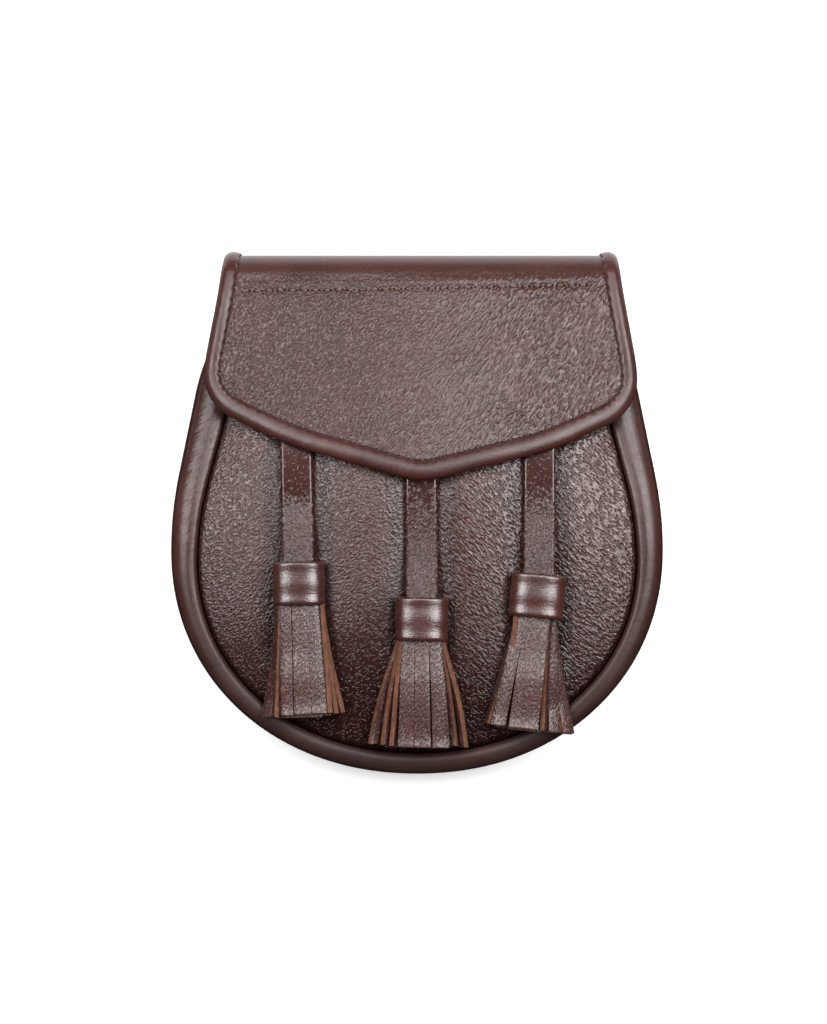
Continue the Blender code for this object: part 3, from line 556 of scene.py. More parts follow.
def flap_outline(inset):
    """The flap's outline from the left end of its lap, round the tip to the right end, moved in by inset.

    Its second value is y up to the fold, and the length along the leather from there on.
    """
    lap_end = FOLD_START_Y + FOLD_LENGTH + FLAP_LAP
    bend = FLAP_CORNERS[0]
    left_bend = Corner("left bend", -bend.half_width, bend.y, 0.0)
    fold = Corner("start of the fold", FLAP_HALF_WIDTH_AT_FOLD, FOLD_START_Y, FLAP_FOLD_CORNER_RADIUS)
    lap = Corner("end of the lap", FLAP_HALF_WIDTH_AT_LAP, lap_end, 0.0)
    right_half = rounded_corners([left_bend, FLAP_TIP, *FLAP_CORNERS, fold, lap])
    right_half = right_half[right_half[:, 0] > 1e-6]
    slope = math.atan2(bend.y - FLAP_TIP.y, bend.half_width)
    lowest = FLAP_TIP.y + FLAP_TIP.radius * (1.0 / math.cos(slope) - 1.0)
    whole = mirrored(np.concatenate([[(0.0, lowest)], right_half]))
    lengths = lengths_along(whole)
    fine = np.linspace(0.0, lengths[-1], 2400)
    whole = columns(*(np.interp(fine, lengths, line) for line in whole.T))
    return whole + normals_to_left(whole) * inset


def bent_over(x, along):
    """The middle of the flap's leather at x and at a length along it, as flap_outline measures them."""
    below_fold = np.maximum(FOLD_START_Y - along, 0.0)
    past_start = np.clip(along - FOLD_START_Y, 0.0, FOLD_LENGTH)
    past_fold = np.maximum(along - FOLD_START_Y - FOLD_LENGTH, 0.0)
    turn = FOLD_TURN - past_start / FOLD_RADIUS
    y = FOLD_Y + FOLD_RADIUS * np.sin(turn) - below_fold - past_fold
    rise = -math.tan(FOLD_TURN) * below_fold - FLAP_CURVE * below_fold**2
    hang = ease(below_fold, 0.0, FLAP_DROOP_LENGTH)
    droop = FLAP_DROOP * hang * np.abs(x / FLAP_HALF_WIDTH) ** FLAP_DROOP_POWER
    z = FOLD_Z - FOLD_RADIUS * np.cos(turn) + rise - droop
    return np.stack([x + FLAP_SHIFT_X, y - FLAP_SKEW * hang * x, z], axis=-1)


def flap_normal(x, along):
    """The direction out of the flap's outer face."""
    step = 0.0002
    across = bent_over(x + step, along) - bent_over(x - step, along)
    up = bent_over(x, along + step) - bent_over(x, along - step)
    out = np.cross(across, up)
    return out / np.linalg.norm(out, axis=-1, keepdims=True)


def binding_width(along):
    narrowing = ease(along, BINDING_NARROWS_FROM_Y, BINDING_NARROWS_TO_Y)
    return BINDING_LOWER_WIDTH + (BINDING_SIDE_WIDTH - BINDING_LOWER_WIDTH) * narrowing


# --- making meshes and objects


def grid(across, along, place, flip=False):
    """A grid of faces, so many across and along, that place() puts in space from shares of 0 to 1."""
    form = bmesh.new()
    bmesh.ops.create_grid(form, x_segments=across, y_segments=along, size=1.0)
    shares = np.array([vert.co[:2] for vert in form.verts]) / 2 + 0.5
    for vert, point in zip(form.verts, place(shares[:, 0], shares[:, 1])):
        vert.co = point
    if flip:
        bmesh.ops.reverse_faces(form, faces=form.faces)
    return form


def weld(form):
    bmesh.ops.remove_doubles(form, verts=form.verts, dist=1e-6)
    bmesh.ops.dissolve_degenerate(form, edges=form.edges, dist=1e-7)


def close(form):
    """Joins the ends of a tube, fills what stays open and turns the faces outwards."""
    weld(form)
    bmesh.ops.holes_fill(form, edges=form.edges, sides=0)
    bmesh.ops.recalc_face_normals(form, faces=form.faces)


def join(form, other, transform=Matrix()):
    """Adds the other bmesh to form, transformed, and frees it."""
    bmesh.ops.transform(other, matrix=transform, verts=other.verts)
    mesh = bpy.data.meshes.new("joining")
    other.to_mesh(mesh)
    other.free()
    form.from_mesh(mesh)
    bpy.data.meshes.remove(mesh)


def add(name, form, looks, transform=Matrix()):
    """Turns a bmesh into an object at the origin with these materials."""
    bmesh.ops.transform(form, matrix=transform, verts=form.verts)
    mesh = bpy.data.meshes.new(name)
    form.to_mesh(mesh)
    form.free()
    for look in looks:
        mesh.materials.append(look)
    mesh.shade_smooth()
    mesh.set_sharp_from_angle(angle=SHARP_ANGLE)
    made = bpy.data.objects.new(name, mesh)
    bpy.context.scene.collection.objects.link(made)
    return made


def place_piece(made, *nodes, slot=None):
    """The piece rides with the pouch and stands for these solids."""
    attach(made, "root")
    if nodes:
        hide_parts(*nodes)
    return made


# --- shader maths


class Shader:
    """One material's nodes. A method makes a node, and its result can be used in sums with numbers."""

    def __init__(self, name):
        self.material = bpy.data.materials.new(name)
        self.material.use_nodes = True
        self.tree = self.material.node_tree
        self.surface = self.tree.nodes["Principled BSDF"]

    def put(self, socket, value):
        if isinstance(value, Link):
            self.tree.links.new(value.socket, socket)
        else:
            socket.default_value = value

    def node(self, kind, settings, inputs, output=0):
        made = self.tree.nodes.new("ShaderNode" + kind)
        for name, value in settings.items():
            setattr(made, name, value)
        for name, value in inputs.items():
            self.put(made.inputs[name], value)
        return Link(self, made.outputs[output])

    def coordinates(self):
        return self.node("TexCoord", {}, {}, "Object")

    def axis(self, name):
        return self.node("SeparateXYZ", {}, {"Vector": self.coordinates()}, name)

    def placed(self, turn_degrees, size):
        """Object coordinates turned about Z, in steps of the given sizes along, across and through."""
        turn = (0.0, 0.0, math.radians(turn_degrees))
        inputs = {"Vector": self.coordinates(), "Rotation": turn, "Scale": size}
        return self.node("Mapping", {"vector_type": "TEXTURE"}, inputs)

    def noise(self, vector, detail=2.0, roughness=0.5, scale=1.0, output="Fac"):
        inputs = {"Vector": vector, "Scale": scale, "Detail": detail, "Roughness": roughness}
        return self.node("TexNoise", {}, inputs, output)

    def spots(self, size, detail=2.0, roughness=0.5):
        """Noise with spots of one size every way."""
        return self.noise(self.placed(0, (size, size, size)), detail, roughness)

    def moved(self, vector, by, amount):
        """The vector, moved by a noise colour around 0.5."""
        centred = self.node("VectorMath", {"operation": "SUBTRACT"}, {0: by, 1: (0.5, 0.5, 0.5)})
        scaled = self.node("VectorMath", {"operation": "SCALE"}, {0: centred, "Scale": amount})
        return self.node("VectorMath", {"operation": "ADD"}, {0: vector, 1: scaled})

    def between(self, value, low, high, to_low=0.0, to_high=1.0):
        """A smooth step of the value from low to high."""
        settings = {"interpolation_type": "SMOOTHSTEP"}
        inputs = {"Value": value, "From Min": low, "From Max": high, "To Min": to_low, "To Max": to_high}
        return self.node("MapRange", settings, inputs)

    def mix(self, share, first, second):
        inputs = {0: share, 6: opaque(first), 7: opaque(second)}
        return self.node("Mix", {"data_type": "RGBA"}, inputs, 2)

    def darkened(self, colour, share):
        settings = {"data_type": "RGBA", "blend_type": "MULTIPLY"}
        grey = self.node("CombineColor", {}, {"Red": share, "Green": share, "Blue": share})
        return self.node("Mix", settings, {0: 1.0, 6: opaque(colour), 7: grey}, 2)

    def bump(self, height, distance):
        return self.node("Bump", {}, {"Height": height, "Distance": distance, "Strength": 1.0})

    def finish(self, **inputs):
        """Sets the sockets of the surface, named with underscores for spaces, and gives the material."""
        for name, value in inputs.items():
            self.put(self.surface.inputs[name.replace("_", " ").title().replace("Ior", "IOR")], value)
        return self.material


def opaque(colour):
    return colour if isinstance(colour, Link) else (*colour, 1.0)


def tinted(colour, share):
    return [part * share for part in colour]


class Link:
    """The output of a node, for use in sums."""

    def __init__(self, shader, socket):
        self.shader = shader
        self.socket = socket

    def sum(self, operation, first, second):
        return self.shader.node("Math", {"operation": operation}, {0: first, 1: second})

    def __add__(self, other):
        return self.sum("ADD", self, other)

    __radd__ = __add__

    def __sub__(self, other):
        return self.sum("SUBTRACT", self, other)

    def __rsub__(self, other):
        return self.sum("SUBTRACT", other, self)

    def __mul__(self, other):
        return self.sum("MULTIPLY", self, other)

    __rmul__ = __mul__


# --- leathers and thread

BROWN = (0.042, 0.0128, 0.0104)
# Painted highlight: the pale colour that the tips of a grain get.
PAINTED_HIGHLIGHT_BROWN = (0.112, 0.075, 0.070)

# A grain is made of dashes of this length and width that run at turn degrees. rise is its relief in
# millimetres. Its heights go from about 0.25 to 0.75: tops says between which of them it comes to
# stand up, and tips between which its tips get a painted highlight.
Grain = namedtuple("Grain", "turn length width rise tops tips")
PANEL_PIPS = Grain(35, 0.0012, 0.00080, 0.34, (0.34, 0.56), (0.60, 0.70))
PANEL_STONES = Grain(-42, 0.0021, 0.00100, 0.40, (0.34, 0.52), (0.58, 0.70))
FLAP_FINE = Grain(50, 0.0012, 0.00072, 0.62, (0.34, 0.54), (0.58, 0.70))
FLAP_LARGE = Grain(60, 0.0024, 0.00095, 0.80, (0.34, 0.52), (0.58, 0.72))
STRAP_PIPS = Grain(52, 0.0012, 0.00080, 0.30, (0.46, 0.70), (0.60, 0.70))
STRIP_LINES = Grain(62, 0.0013, 0.00068, 0.24, (0.34, 0.50), (0.56, 0.68))


def dashes(shader, grain):
    """The relief of a grain, how much of it stands up, and how far its tips get a painted highlight."""
    place = shader.placed(grain.turn, (grain.length, grain.width, (grain.length + grain.width) / 2))
    wander = shader.noise(place, 1.0, scale=0.5, output="Color")
    heights = shader.noise(shader.moved(place, wander, 0.7), 1.5)
    tops, tips = (shader.between(heights, *limits) for limits in (grain.tops, grain.tips))
    return heights * grain.rise, tops, tips


def blended(on_right, left, right):
    """The left grain's dashes, giving way to the right grain's."""
    return [first * (1.0 - on_right) + second * on_right for first, second in zip(left, right)]


def grained_leather(name, grain, matt=0.34, shiny=0.22, gloss=0.42):
    """Leather with a grain: a sheen on what stands up, and duller between, where shade is painted darker.

    grain gives the relief in millimetres, how much each place stands up from 0 to 1, how far its tips
    get a painted highlight from 0 to 1, a painted shade of 0 to 1, and how dull the leather is: 0 as a
    rule, up to 1 where it is matt, and below 0 where it is polished.
    """
    shader = Shader(name)
    relief, tops, tips, shade, dull = grain(shader)
    pores = shader.spots(0.00045, 2.0, 0.6)
    patches = shader.spots(0.020, 3.0)
    # Painted shade darkens the valleys between the tops, painted highlights turn the tips pale, and the
    # grain's painted shade darkens the rest.
    colour = shader.mix(tops, tinted(BROWN, 0.62), tinted(BROWN, 1.05))
    colour = shader.mix(tips, colour, PAINTED_HIGHLIGHT_BROWN)
    return shader.finish(
        base_color=shader.darkened(colour, shader.between(patches, 0.30, 0.72, 0.86, 1.10) * shade),
        roughness=matt + (shiny - matt) * tops + (patches - 0.5) * 0.10 + dull * 0.40,
        specular_ior_level=gloss,
        normal=shader.bump(relief + pores * 0.02, MM),
    )


def smooth_leather(name, brown, turn=0.0, creases=None, shade=None, matt=0.37, shiny=0.27, gloss=0.36):
    """Polished leather with fine pores and faint creases."""
    shader = Shader(name)
    pores = shader.spots(0.0007, 2.0, 0.6)
    waves = shader.noise(shader.placed(turn, (0.009, 0.003, 0.006)), 3.0)
    patches = shader.spots(0.016, 3.0)
    height = pores * 0.65 + waves * 0.8
    if creases:
        height = height + creases(shader)
    colour = shader.mix(shader.between(patches, 0.30, 0.70), tinted(brown, 0.80), tinted(brown, 1.12))
    colour = shader.darkened(colour, shader.between(pores, 0.25, 0.60, 0.80, 1.05))
    roughness = shader.between(waves, 0.25, 0.75, shiny, matt) + (pores - 0.5) * 0.10
    if shade:
        # Painted shade: the colour darkens where the shade function says, and the leather grows more matt
        # there.
        painted_darkening = shade(shader)
        colour = shader.darkened(colour, painted_darkening)
        roughness = roughness + (1.0 - painted_darkening) * 0.60
    normal = shader.bump(height, 0.00012)
    return shader.finish(base_color=colour, roughness=roughness, specular_ior_level=gloss, normal=normal)


def cut_edge(name, dark=1.0):
    """The fibres that show where leather is cut: tan brown, with darker layers and loose fibres."""
    shader = Shader(name)
    fibres = shader.noise(shader.placed(0, (0.00022, 0.0030, 0.00040)), 3.0, 0.6)
    blotches = shader.noise(shader.placed(0, (0.0022, 0.0040, 0.0022)))
    umber, tan = tinted((0.050, 0.017, 0.009), dark), tinted((0.150, 0.056, 0.029), dark)
    colour = shader.mix(shader.between(fibres, 0.32, 0.66), umber, tan)
    colour = shader.darkened(colour, shader.between(blotches, 0.30, 0.70, 0.72, 1.12))
    normal = shader.bump(fibres, 0.00014)
    return shader.finish(base_color=colour, roughness=0.78, specular_ior_level=0.35, normal=normal)


def flesh_side(name):
    """The rough inner side of the leather."""
    shader = Shader(name)
    nap = shader.spots(0.0005, 4.0, 0.7)
    colour = shader.mix(shader.between(nap, 0.3, 0.7), (0.040, 0.017, 0.0125), (0.076, 0.035, 0.026))
    colour = shader.darkened(colour, shader.between(shader.spots(0.010, 3.0), 0.3, 0.7, 0.85, 1.1))
    normal = shader.bump(nap, 0.0002)
    return shader.finish(base_color=colour, roughness=0.85, specular_ior_level=0.30, normal=normal)


def sewing_thread(name, colour):
    shader = Shader(name)
    strands = shader.noise(shader.placed(35, (0.00018, 0.0012, 0.00018)))
    twisted = shader.mix(shader.between(strands, 0.35, 0.65), tinted(colour, 0.6), tinted(colour, 1.25))
    normal = shader.bump(strands, 0.0001)
    return shader.finish(base_color=twisted, roughness=0.55, specular_ior_level=0.45, normal=normal)


def needle_hole(name):
    shader = Shader(name)
    # Painted shade: nearly black, for the shade inside a needle hole.
    colour = shader.mix(shader.spots(0.0003, 1.0), (0.006, 0.002, 0.002), (0.016, 0.006, 0.005))
    return shader.finish(base_color=colour, roughness=0.9, specular_ior_level=0.1)


def tarnished_brass(name):
    shader = Shader(name)
    tarnish = shader.spots(0.003, 4.0)
    colour = shader.mix(shader.between(tarnish, 0.35, 0.7), (0.52, 0.47, 0.38), (0.30, 0.25, 0.18))
    roughness = shader.between(tarnish, 0.3, 0.7, 0.22, 0.42)
    return shader.finish(base_color=colour, roughness=roughness, metallic=1.0)


def painted_seam_shade(shader):
    """Painted shade: darker where the front panel turns down into its seam."""
    away = shader.node("Attribute", {"attribute_name": "from_seam"}, {}, "Fac")
    return shader.between(away, 0.0, 0.7, 0.45, 1.0)


def painted_lower_shade(shader):
    """Painted shade: darker towards the bottom, where the panel turns away from the lights."""
    return shader.between(shader.axis("Y"), -0.085, 0.005, 0.32, 1.0)


def painted_ring_shade(shader):
    """Painted shade: the gusset is a little darker towards the bottom, where it turns away from the
    lights.
    """
    return shader.between(shader.axis("Y"), -0.090, -0.010, 0.62, 1.0)


def painted_shade_beside_straps(shader):
    """Where shade is painted: 1 in the middle of the valleys that the straps press beside them, and 0
    away from the straps.
    """
    across = shader.axis("X")
    deep = 0.0
    for tassel in TASSELS:
        for side in (-1, 1):
            middle = tassel.x + side * STRAP_VALLEY_OFFSET
            off = shader.node("Math", {"operation": "ABSOLUTE"}, {0: across - middle})
            deep = deep + shader.between(off, 0.0, 0.0065, 1.0, 0.0)
    return deep * shader.between(shader.axis("Y"), -0.070, -0.045)


def panel_grain(shader):
    """Fine pits on the left of the front panel, and larger ones that run the other way on its right.

    Both are rubbed nearly smooth towards the bottom, where only small pips stand up.
    """
    height = shader.axis("Y")
    on_right = shader.between(shader.axis("X"), -0.030, 0.030)
    pips = dashes(shader, PANEL_PIPS)
    rise, tops, tips = blended(on_right, pips, dashes(shader, PANEL_STONES))
    worn = shader.between(height, -0.060, -0.012)
    relief = tops * (0.05 + on_right * 0.05) + rise
    relief = relief * (worn * (0.80 - on_right * 0.30) + 0.20 + on_right * 0.30)
    domes = shader.between(pips[0], PANEL_PIPS.rise * 0.54, PANEL_PIPS.rise * 0.68)
    relief = relief + domes * (1.0 - worn) * 0.10
    # Painted highlights on the tips fade towards the bottom, and painted shade darkens the bottom, the
    # seam and the valleys beside the straps.
    tips = tips * shader.between(height, -0.070, -0.020, 0.25, 0.80)
    shade = painted_lower_shade(shader) * painted_seam_shade(shader) * (1.0 - painted_shade_beside_straps(shader) * 0.5)
    return relief, tops, tips, shade, shader.between(height, -0.075, -0.030, -0.25, 0.0)


def flap_grain(shader):
    """Dashes that grow stronger to the right, and are pulled flat where the flap bends over the top."""
    pulled = 1.0 - shader.between(shader.axis("Y"), 0.0875, 0.0930) * 0.88
    smoothed = 1.0 - pulled
    on_right = shader.between(shader.axis("X"), -0.030, 0.055)
    rise, tops, tips = blended(on_right, dashes(shader, FLAP_FINE), dashes(shader, FLAP_LARGE))
    relief = (tops * 0.05 + rise) * pulled
    return relief, tops * pulled + smoothed * 0.5, tips * pulled * 0.8, 1.0, smoothed * 0.10


def strap_grain(shader):
    """Pips where the strap is worn, and a polished stretch with few of them below the flap."""
    rise, domes, specks = dashes(shader, STRAP_PIPS)
    polished = shader.between(shader.axis("Y"), -0.014, 0.016)
    worn = 1.0 - polished
    relief = (domes * 0.16 + rise) * worn + specks * polished * 0.12
    return relief, domes * worn, specks * 0.7, 1.0 + polished * 0.20, polished * -0.40


def strip_grain(shader):
    rise, tops, tips = dashes(shader, STRIP_LINES)
    return tops * 0.05 + rise, tops, tips * 0.8, 1.0, 0.0


def cross_creases(shader):
    """Fine creases that run across the lie of the leather on a cap."""
    return shader.noise(shader.placed(0, (0.0060, 0.00055, 0.0060)), 2.0, 0.6) * 0.5


def ring_creases(shader):
    """Soft slanting creases across the roll where it bends round the upper left side."""
    soft = shader.noise(shader.placed(35, (0.0110, 0.0026, 0.0110)), 2.0, 0.6)
    height = shader.axis("Y")
    upper = shader.between(height, -0.030, 0.005) * shader.between(height, 0.062, 0.040)
    return soft * 2.2 * upper * shader.between(shader.axis("X"), -0.055, -0.080)


GRAINED_PANEL = grained_leather("grained_panel", panel_grain)
GRAINED_FLAP = grained_leather("grained_flap", flap_grain, matt=0.40, shiny=0.30)
GRAINED_STRAP = grained_leather("grained_strap", strap_grain)
GRAINED_STRIP = grained_leather("grained_strip", strip_grain, matt=0.46, shiny=0.34, gloss=0.60)
SMOOTH_GUSSET = smooth_leather(
    "smooth_gusset", (0.036, 0.0118, 0.0096), 0.0, ring_creases, painted_ring_shade, matt=0.36, shiny=0.29
)
SMOOTH_BINDING = smooth_leather("smooth_binding", (0.040, 0.0115, 0.0094), 20.0, shiny=0.28)
SMOOTH_CAP = smooth_leather(
    "smooth_cap", (0.042, 0.0125, 0.0104), 0.0, cross_creases, matt=0.31, shiny=0.24, gloss=0.80
)
SMOOTH_BACK = smooth_leather("smooth_back", (0.027, 0.0102, 0.0082), 30.0)
CUT_EDGE = cut_edge("cut_edge")
DYED_EDGE = cut_edge("dyed_edge", 0.45)
FLESH_SIDE = flesh_side("flesh_side")
BROWN_THREAD = sewing_thread("brown_thread", (0.060, 0.022, 0.018))
DARK_THREAD = sewing_thread("dark_thread", (0.016, 0.006, 0.005))
PALE_THREAD = sewing_thread("pale_thread", (0.130, 0.070, 0.052))
NEEDLE_HOLE = needle_hole("needle_hole")
TARNISHED_BRASS = tarnished_brass("tarnished_brass")


# --- stitches


def basis(start, end, up):
    """A frame at start with +X towards end and +Z near up."""
    ahead = (end - start).normalized()
    side = up.cross(ahead).normalized()
    out = ahead.cross(side)
    turn = Matrix((ahead, side, out)).transposed().to_4x4()
    return Matrix.Translation(start) @ turn


def stitch(length, rise):
    """One stitch of twisted thread along +X that dips into the leather at both ends."""

    def place(around, along):
        turn = around * 2 * math.pi
        thin_ends = np.sqrt(np.maximum(np.sin(np.clip(along, 0.02, 0.98) * math.pi), 0.05)) ** 0.5
        radius = THREAD_RADIUS * thin_ends
        height = rise * np.sin(along * math.pi) ** 0.7 - rise * 0.55
        return columns(along * length, np.cos(turn) * radius, height + np.sin(turn) * radius)

    form = grid(7, 8, place)
    close(form)
    return form


def hole():
    """A dimple round a needle hole; its near-black colour is painted shade."""
    form = bmesh.new()
    bmesh.ops.create_circle(form, cap_ends=True, segments=8, radius=HOLE_RADIUS)
    bmesh.ops.inset_region(form, faces=list(form.faces), thickness=HOLE_RADIUS * 0.5)
    middle = [vert for vert in form.verts if vert.co.length < HOLE_RADIUS * 0.7]
    bmesh.ops.translate(form, verts=middle, vec=(0.0, 0.0, -HOLE_RADIUS * 0.1))
    return form


def sew(name, points, ups, thread, sewing):
    """A row of stitches along a line of points, with a needle hole at each end of each stitch."""
    lengths = lengths_along(points)
    count = round(lengths[-1] / sewing.pitch)
    step = lengths[-1] / count

    def at(length):
        point, up = ([np.interp(length, lengths, line) for line in lines.T] for lines in (points, ups))
        return Vector(point), Vector(up).normalized()

    threads, holes = bmesh.new(), bmesh.new()
    for index, start in enumerate(np.linspace(0.0, lengths[-1], count + 1)[:-1]):
        wobble = noise.noise(Vector((index * 1.7, sewing.pitch * 1000, 0.3))) * step * STITCH_WOBBLE
        first, up = at(start + step * (1 - sewing.share) / 2 + wobble)
        last, _ = at(start + step * (1 + sewing.share) / 2 + wobble)
        join(threads, stitch((last - first).length, sewing.rise), basis(first, last, up))
        for end in (first, last):
            above = end + up * HOLE_LIFT
            join(holes, hole(), basis(above, above + (last - first), up))
    place_piece(add(f"{name}_holes", holes, [NEEDLE_HOLE]))
    place_piece(add(f"{name}_stitches", threads, [thread]))


def sew_on_back(name, line, height, sewing):
    """A row of stitches along a line of (x, y), on a face at this height that looks backwards."""
    points = np.concatenate([line, np.full((len(line), 1), height)], axis=1)
    sew(name, points, np.tile((0.0, 0.0, -1.0), (len(line), 1)), BROWN_THREAD, sewing)


# --- the pieces


def leather(
    name, form, face, thickness, node, slot, offset=-1.0, edge=DYED_EDGE, rounding=0.0, place=Matrix()
):
    """A piece of cut leather: an open surface gets its thickness, its flesh side and its cut edge.

    offset puts the thickness behind the surface at -1, half and half at 0, and in front of it at 1.
    """
    made = add(name, form, [face, FLESH_SIDE, edge], place)
    wall = made.modifiers.new("leather", "SOLIDIFY")
    wall.thickness = thickness
    wall.offset = offset
    wall.use_even_offset = True
    wall.material_offset = 1
    wall.material_offset_rim = 2
    if rounding:
        worn = made.modifiers.new("worn_edge", "BEVEL")
        worn.width = rounding
        worn.segments = 2
        worn.limit_method = "ANGLE"
        worn.angle_limit = SHARP_ANGLE
    return place_piece(made, node, slot=slot)


def make_gusset():
    section = curve_through(numbers(GUSSET_SECTION), 4)

    def place(along, round_section):
        roll, inset, height, lift = section[nearest(round_section, len(section) - 1)].T
        outline_at = outline_y(along)
        x, y = on_outline(along, roll * roll_width(outline_at) + inset)
        back, crest = tuck_height(outline_at), crest_height(outline_at)
        flattened = np.minimum((crest - back) / FULL_SIDE_HEIGHT, 1.0)
        z = np.maximum(back + height * (crest - back) + lift * flattened, 0.0)
        on_roll = ease(round_section, 0.24, 0.36) * (1.0 - ease(round_section, 0.55, 0.68))
        stations = columns(along * 12.0, round_section * 0.6, along * 0.0)
        swell = unevenness(stations, 1.0, 3) + 0.5 * unevenness(stations * 2.6, 1.0, 5)
        return columns(x, y, z + ROLL_SWELL * swell * on_roll)

    form = grid(420, len(section) - 1, place, flip=True)
    leather("gusset_leather", form, SMOOTH_GUSSET, PANEL_LEATHER, "gusset", "smooth_gusset")


def make_front_panel():
    seam_steps, mouth_steps, rings = 288, 72, 44
    mouth = mouth_share()

    def place(round_edge, inwards):
        step = np.round(round_edge * (seam_steps + mouth_steps))
        x, y = seam_at(mouth + (1.0 - 2.0 * mouth) * np.minimum(step, seam_steps) / seam_steps)
        x = x * (1.0 - 2.0 * np.maximum(step - seam_steps, 0) / mouth_steps)
        ring = 1.0 - inwards**1.5
        x, y = x * ring, PANEL_MIDDLE_Y + (y - PANEL_MIDDLE_Y) * ring
        points = columns(x, y, panel_height(x, y))
        inside = ease(distance_to_seam(x, y), 0.002, 0.016)
        swell = unevenness(points * (1.0, 0.55, 0.0), PANEL_SWELL_PITCH, 2)
        points[:, 2] += PANEL_SWELL * inside * swell
        return points

    name, form = "front_panel", grid(seam_steps + mouth_steps, rings, place)
    weld(form)
    made = leather(f"{name}_leather", form, GRAINED_PANEL, PANEL_LEATHER, name, "grained_front")
    # from_seam feeds the painted shade along the seam.
    places = np.array([vert.co[:2] for vert in made.data.vertices])
    from_seam = made.data.attributes.new("from_seam", "FLOAT", "POINT")
    from_seam.data.foreach_set("value", ease(distance_to_seam(*places.T), GAP, SHADED_SEAM_WIDTH))


def back_rows():
    """(half width, y, height of the outer face) up the back panel, from its bottom to its folded tab."""
    power = 2.0 / BOTTOM_ROUNDNESS
    width, depth = HALF_WIDTH - BACK_EDGE_INSET, BOTTOM_DEPTH - BACK_EDGE_INSET
    rows = []
    for turn in np.linspace(0.0, math.pi / 2, 49)[:-1]:
        across, down = width * math.sin(turn) ** power, depth * math.cos(turn) ** power
        rows.append((across, WIDEST_Y - down, BACK_Z))
    for share in np.linspace(0.0, 1.0, 25):
        y = WIDEST_Y + (BACK_STEP_START_Y - WIDEST_Y) * share
        inset = BACK_EDGE_INSET + BACK_TOP_NARROWING * share
        rows.append((float(half_width_at(y)) - inset, y, BACK_Z))
    lapped_z = FOLD_Z - FOLD_RADIUS + FLAP_LEATHER / 2 + GAP
    radius = FOLD_Z - lapped_z
    tab = []
    for share in np.linspace(0.0, 1.0, 9)[1:]:
        y = BACK_STEP_START_Y + (BACK_STEP_END_Y - BACK_STEP_START_Y) * share
        tab.append((y, BACK_Z + (lapped_z - BACK_Z) * float(ease(share, 0.0, 1.0))))
    for turn in np.linspace(0.0, FOLD_TURN, 17):
        tab.append((FOLD_Y + radius * math.sin(turn), FOLD_Z - radius * math.cos(turn)))
    y, z = tab[-1]
    tab.append((BACK_TAB_END_Y, z - math.tan(FOLD_TURN) * (y - BACK_TAB_END_Y)))
    return np.array([*rows, *((BACK_TAB_HALF_WIDTH, y, z) for y, z in tab)])


def make_back_panel():
    rows = back_rows()

    def place(across, along):
        half_width, y, z = rows[nearest(along, len(rows) - 1)].T
        points = columns((across * 2 - 1) * half_width, y, z)
        swell = BACK_SWELL * np.abs(unevenness(points, BACK_SWELL_PITCH, 9))
        points[:, 2] += swell * (y < BACK_STEP_START_Y)
        return points

    form = grid(40, len(rows) - 1, place, flip=True)
    weld(form)
    leather("back_panel_leather", form, SMOOTH_BACK, PANEL_LEATHER, "back_panel", "plain_back")


def flap_row_y(x):
    """Where the row of stitches across the flap runs: it climbs a little to the right."""
    sag = FLAP_ROW_SAG * np.cos(x / FLAP_ROW_SAG_HALF_LENGTH * math.pi / 2)
    return FLAP_ROW_Y + FLAP_ROW_SLOPE * x - sag


def flap_relief(x, along, share):
    """Height over the plain form: the dip along the row of stitches, the band above it, and soft swells.

    share is 0 in the middle of the flap and 1 or -1 at its sides.
    """
    off_row = along - flap_row_y(x)
    relief = sum(
        height * np.exp(-(((off_row - distance) / half_width) ** 2))
        for distance, half_width, height in numbers(FLAP_ROW_RELIEF)
    )
    swell = FLAP_SWELL * unevenness(bent_over(x, along) * (1.0, 1.4, 0.0), FLAP_SWELL_PITCH, 4)
    return (relief + swell * (along < FOLD_START_Y)) * (1.0 - ease(np.abs(share), 0.88, 0.97))


def make_flap():
    edge = flap_outline(BINDING_SLOT_DEPTH + GAP)
    corner = np.argmin(np.abs(edge[:, 1] - FLAP_CORNER_ENDS_Y) + (edge[:, 0] < 0))
    side = edge[corner:]
    bottom = edge[len(edge) - 1 - corner : corner + 1]
    front_rows = np.linspace(side[0, 1], FOLD_START_Y, 84)[:-1]
    fold_rows = FOLD_START_Y + np.linspace(0.0, FOLD_LENGTH, 40)
    lap_rows = np.linspace(fold_rows[-1], side[-1, 1], 8)[1:]
    rows = np.concatenate([front_rows, fold_rows, lap_rows])
    half_widths = np.interp(rows, side[:, 1], side[:, 0])
    sag = ease(rows, FOLD_START_Y, side[0, 1])

    def place(across, along):
        row = nearest(along, len(rows) - 1)
        share = across * 2 - 1
        low = np.interp(share * half_widths[0], bottom[:, 0], bottom[:, 1]) - side[0, 1]
        x, v = share * half_widths[row], rows[row] + low * sag[row]
        return bent_over(x, v) + flap_normal(x, v) * flap_relief(x, v, share)[:, None]

    form = grid(150, len(rows) - 1, place)
    return leather("flap_leather", form, GRAINED_FLAP, FLAP_LEATHER, "flap", "grained_flap", offset=0.0)


